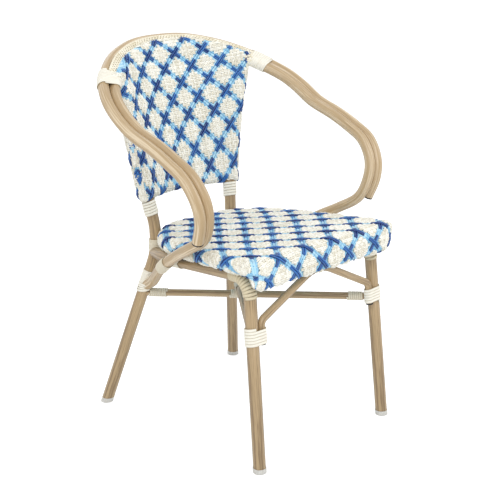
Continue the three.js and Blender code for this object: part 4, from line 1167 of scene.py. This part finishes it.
def spreadPath(spot, ends, sizes, samples, lift, aside=0.0):
    # a path between two lattice places, with its lift at each sample and an offset to the side in mm
    (n0, r0), (n1, r1) = ends
    t = 0.5 - 0.5 * np.cos(np.linspace(0, math.pi, samples))
    half, rise = sizes
    direction = vec((n1 - n0) * half, (r1 - r0) * rise)
    direction /= np.linalg.norm(direction)
    n = n0 + (n1 - n0) * t + -direction[1] * aside / half
    r = r0 + (r1 - r0) * t + direction[0] * aside / rise
    return spot(n, r, lift(t))


def plateau(low, high, share=0.16):
    # lift profile: up from under the skin, flat, and down again
    def lift(t):
        edge = np.clip(np.minimum(t, 1 - t) / share, 0, 1)
        return low + (high - low) * (3 * edge ** 2 - 2 * edge ** 3)
    return lift


def strandOn(heap, found, width, thick, corners=6, taper=1.0):
    place, normal, past = found
    if np.max(past) > 1.0:
        keep = past <= 1.0
        if keep.sum() < 3:
            return
        place, normal = place[keep], normal[keep]
    if np.linalg.norm(place[-1] - place[0]) < 2.0:
        return
    addStrand(heap, place, normal, width, thick, corners, tone=random.random(), taper=taper,
              turn=0.5 if corners > 4 else 0.0)


def addCross(heaps, spot, n, r, sizes, over, short, squeezed):
    # light blue bands run on between the crosses; the double blue strands float on top
    def arm(share):
        return (n - dn * share, r - dr * share), (n + dn * share, r + dr * share)
    for k, (dn, dr) in enumerate(((1, -1), (1, 1))):
        for aside in (-weave["skyPitch"], 0.0, weave["skyPitch"]):
            found = spreadPath(spot, arm(0.5), sizes, 7, lambda t: weave["skyLift"], aside)
            strandOn(heaps["sky"], found, weave["skyWidth"], weave["skyThick"])
        if squeezed and k != over:
            continue
        ends = arm(weave["squeezedReach"] if squeezed else weave["blueReach"] * short[k])
        top, spread = k == over, np.abs(np.cos(np.linspace(0, math.pi, 13)))

        def lift(t, high=2.0 if top else 1.1, swell=1.3 if top else -0.3):
            return plateau(0.3, high, 0.07)(t) + swell * np.exp(-((t - 0.5) / 0.16) ** 2)
        for aside in (-weave["blueAside"], weave["blueAside"]):
            found = spreadPath(spot, ends, sizes, 13, lift, aside * (1 - (1 - short[2]) * spread ** 2))
            strandOn(heaps["blue"], found, weave["blueWidth"], weave["blueThick"], taper=0.5)


def addFlower(heaps, spot, n, r, sizes, reaches):
    # pairs of short upright and level strands, plaited over and under; their ends make the petals
    half, rise = sizes
    pitch, power = weave["pairPitch"], weave["bulge"]
    for level in (False, True):
        cross, run = (rise, half) if level else (half, rise)
        wide, far = (reaches[1], reaches[0]) if level else reaches
        count = int(wide * cross / pitch)
        for k in range(-count, count + 1):
            reach = far * max(0.0, 1 - (abs(k) * pitch / cross / wide) ** power) ** (1 / power)
            reach += random.uniform(-0.04, 0.05)
            length = reach * run
            if length < weave["shortest"]:
                continue

            def lift(t, phase=k + (1 if level else 0), length=length):
                wave = weave["wave"] * np.cos(math.pi * ((2 * t - 1) * length / pitch + phase))
                flat = plateau(0.5, 1.7, min(0.3, 3.0 / length))(t)
                return flat + wave * np.clip(6 * t * (1 - t), 0, 1)
            for aside in (-0.5, 0.5):
                offset = (k * pitch + aside * weave["pairGap"]) / cross
                if level:
                    ends = ((n - reach, r + offset), (n + reach, r + offset))
                else:
                    ends = ((n + offset, r - reach), (n + offset, r + reach))
                found = spreadPath(spot, ends, sizes, 11, lift)
                strandOn(heaps["cream"], found, weave["creamWidth"], weave["creamThick"], 4, 0.35)


fullArms = (1, 1, 0.8)  # crosses from this row on keep long arms
fullArmsRow = 6


def makeWeave(part, suffix, node, spot, sizes, reaches, columns, rows, over, short, squeezed=()):
    # short: how long the crosses' two arms are left and how near each other their strands end
    heaps = {"cream": newHeap(), "blue": newHeap(), "sky": newHeap()}
    for r in rows:
        for n in columns:
            past = spot(np.array([float(n)]), np.array([float(r)]), np.array([0.0]))[2]
            if past[0] > 1.15:
                continue
            if (n + r) % 2 == 0:
                arms = short if r < fullArmsRow else fullArms
                addCross(heaps, spot, n, r, sizes, over, arms, (n, r) in squeezed)
            else:
                addFlower(heaps, spot, n, r, sizes, reaches)
    for kind, label, finish in (("cream", "Flowers", creamFinish), ("blue", "Crosses", blueFinish),
                                ("sky", "Bands", skyFinish)):
        finishHeap(heaps[kind], f"{part}{label}{suffix}", finish, [node])


def addSheet(heap, grid, closedAcross=False):
    # a skin through a grid of points; grain follows its rows and columns
    grid = np.asarray(grid)
    rows, columns = grid.shape[:2]
    index = heap["count"] + np.arange(rows * columns).reshape(rows, columns)
    span = columns if closedAcross else columns - 1
    following = np.roll(index, -1, axis=1)
    for i in range(rows - 1):
        for j in range(span):
            heap["faces"].append([index[i, j], following[i, j], following[i + 1, j], index[i + 1, j]])
    heap["verts"].append(grid.reshape(-1, 3))
    heap["grain"].append(grid.reshape(-1, 3))
    heap["tone"].append(np.full(rows * columns, 0.5))
    heap["count"] += rows * columns


def makeSkinFinish(name, first, second, pitch):
    # the ground of the weave: flat light blue strands plaited close, seen between the flowers
    material, tree, shader = newMaterial(name)
    spot = tree.nodes.new("ShaderNodeTexCoord").outputs["Object"]
    wave = tree.nodes.new("ShaderNodeTexWave")
    wave.inputs["Scale"].default_value = pitch
    wave.inputs["Distortion"].default_value = 1.5
    wave.inputs["Detail"].default_value = 2
    tree.links.new(spot, wave.inputs["Vector"])
    other = tree.nodes.new("ShaderNodeTexWave")
    other.bands_direction = "Z"
    other.inputs["Scale"].default_value = pitch
    tree.links.new(spot, other.inputs["Vector"])
    plait = mathNode(tree, "MAXIMUM", wave.outputs["Fac"], other.outputs["Fac"])
    coat(tree, shader, rampNode(tree, plait, [(0.2, second), (0.75, first)]), 0.55, plait, 0.0012, 0.7)
    return material


skinFinish = makeSkinFinish("plaitedGround", (196, 232, 250), (120, 186, 226), 60)


def closeSkin(name, outer, thickness, node, closedAcross, facing):
    # an outer skin that mostly faces one way, given its thickness inward
    heap = newHeap()
    addSheet(heap, outer, closedAcross)
    corners = np.concatenate(heap["verts"])[np.array(heap["faces"])]
    faces = np.cross(corners[:, 2] - corners[:, 0], corners[:, 3] - corners[:, 1]).sum(axis=0)
    if faces @ facing < 0:
        heap["faces"] = [face[::-1] for face in heap["faces"]]
    piece = finishHeap(heap, name, skinFinish, [node])
    bpy.ops.object.select_all(action="DESELECT")
    piece.select_set(True)
    bpy.context.view_layer.objects.active = piece
    bpy.ops.object.mode_set(mode="EDIT")
    bpy.ops.mesh.select_all(action="SELECT")
    bpy.ops.mesh.remove_doubles(threshold=0.05 * mm)
    bpy.ops.object.mode_set(mode="OBJECT")
    wall = piece.modifiers.new("skinWall", "SOLIDIFY")
    wall.thickness = thickness * mm
    wall.offset = -1
    bpy.ops.object.modifier_apply(modifier=wall.name)
    return piece


def makeSeat():
    makeWeave("seat", "", "seat_weave", seatSpot, (40.5, 44.7), (0.66, 0.66), range(-10, 7), range(-4, 9), 1,
              (0.72, 1.05, 0.25), [(-8, 6)])
    lift = weave["groundLift"]
    rows = []
    for share in np.linspace(0.04, 1, 14)[:-1]:
        flat = seatMiddle + (ringPoints - seatMiddle) * share
        rows.append(seatSurface(flat[:, 0], flat[:, 1], lift)[0])
    for share in np.linspace(0, 1, 34):
        insetDrop, slope = rollAt((rimArc[-1] * (1 - lipShares) + lipArc[-1] * lipShares) * share, lipShares)
        place = outlinePoints + outlineInward * insetDrop[:, :1]
        place[:, 2] = seatTop(place[:, 1]) - insetDrop[:, 1]
        normal = -outlineInward * np.sin(slope)[:, None] + np.cos(slope)[:, None] * vec(0, 0, 1)
        rows.append(place + normal * lift)
    rows = np.array(rows)[:, ::3]
    centre = seatSurface(seatMiddle[0], seatMiddle[1], lift)[0].reshape(3)
    rows = np.concatenate([np.broadcast_to(centre, (1, rows.shape[1], 3)), rows])
    closeSkin("seatGround", rows, 3.2, "seat_weave", True, vec(0, 0, 1))


# how far the back's ground runs on past the lattice's sides, foot and top
overrun = {"side": 34.0, "foot": 28, "top": 22}


def makeBack():
    for facing, side in ((1, "Front"), (-1, "Rear")):
        def spot(n, r, lift, facing=facing):
            return backSpot(n, r, lift, facing)
        makeWeave("back", side, "back_weave", spot, (36.0, 36.0), (0.69, 0.67), range(-9, 7), range(-2, 10),
                  0 if facing > 0 else 1, (1.0, 1.0, 0.85))
        xs = np.linspace(-1, 1, 90)
        rows = []
        for v in np.linspace(0, 1, 64):
            width = panelHalf(v) + overrun["side"] + cornerReach(xs, v)
            tops = innerHeights(np.clip(xs * width / panelHalf(v), -1, 1))
            low = panel["footHeight"] - overrun["foot"]
            z = low + (tops + overrun["top"] - low) * v
            rows.append(panelSurface(xs * width, z, weave["groundLift"], facing)[0])
        closeSkin(f"backGround{side}", np.array(rows), 1.6, "back_weave", False, vec(0, -facing, 0))


def makeHiddenFrame():
    dress = (bareFinish, "bare_tube")
    ring = ringPoints.copy()
    ring[:, 2] = seatTop(ring[:, 1]) - seat["rim"]
    start = ringCount // 2
    line = list(np.roll(ring, -start, axis=0)[::3]) + [ring[start]]
    tubePiece("seatRing", "seat_frame", line, seatTube["radius"], *dress, (0.4, 0.4), sides=18)
    for index, share in enumerate(seatTube["crossShares"]):
        y = seat["frontY"] + share * seat["length"]
        z = seatTop(y) - seatTube["skin"] - seat["dish"] - seatTube["gap"] - seatTube["crossBar"]
        nearby = ring[np.argsort(np.abs(ring[:, 1] - y))[:2], 0]
        half = np.abs(nearby).mean() - seatTube["crossTrim"]
        tubePiece(f"seatCrossBar{index + 1}", f"seat_cross_bar_{index + 1}",
                  [vec(x, y, z) for x in np.linspace(-half, half, 9)], seatTube["crossBar"], *dress, sides=16)
    lipY = seat["frontY"] + lipRound
    lipZ = seatTop(lipY) - lipFoot
    xs = np.linspace(-seatTube["lipReach"], seatTube["lipReach"], 13)
    lipLine = [vec(x, lipY, lipZ) for x in xs]
    tubePiece("seatLipBar", "seat_lip_bar", lipLine, seatTube["lipBar"], *dress, sides=12)
    tubePiece("backLowerRail", "back_bottom_rail", [panelPoint(u, 0) for u in np.linspace(-1, 1, 25)],
              seatTube["railRadius"], *dress, (seatTube["railTrim"], seatTube["railTrim"]), sides=18)


makeHiddenFrame()
makeSeat()
makeBack()
print("seat and back are woven")
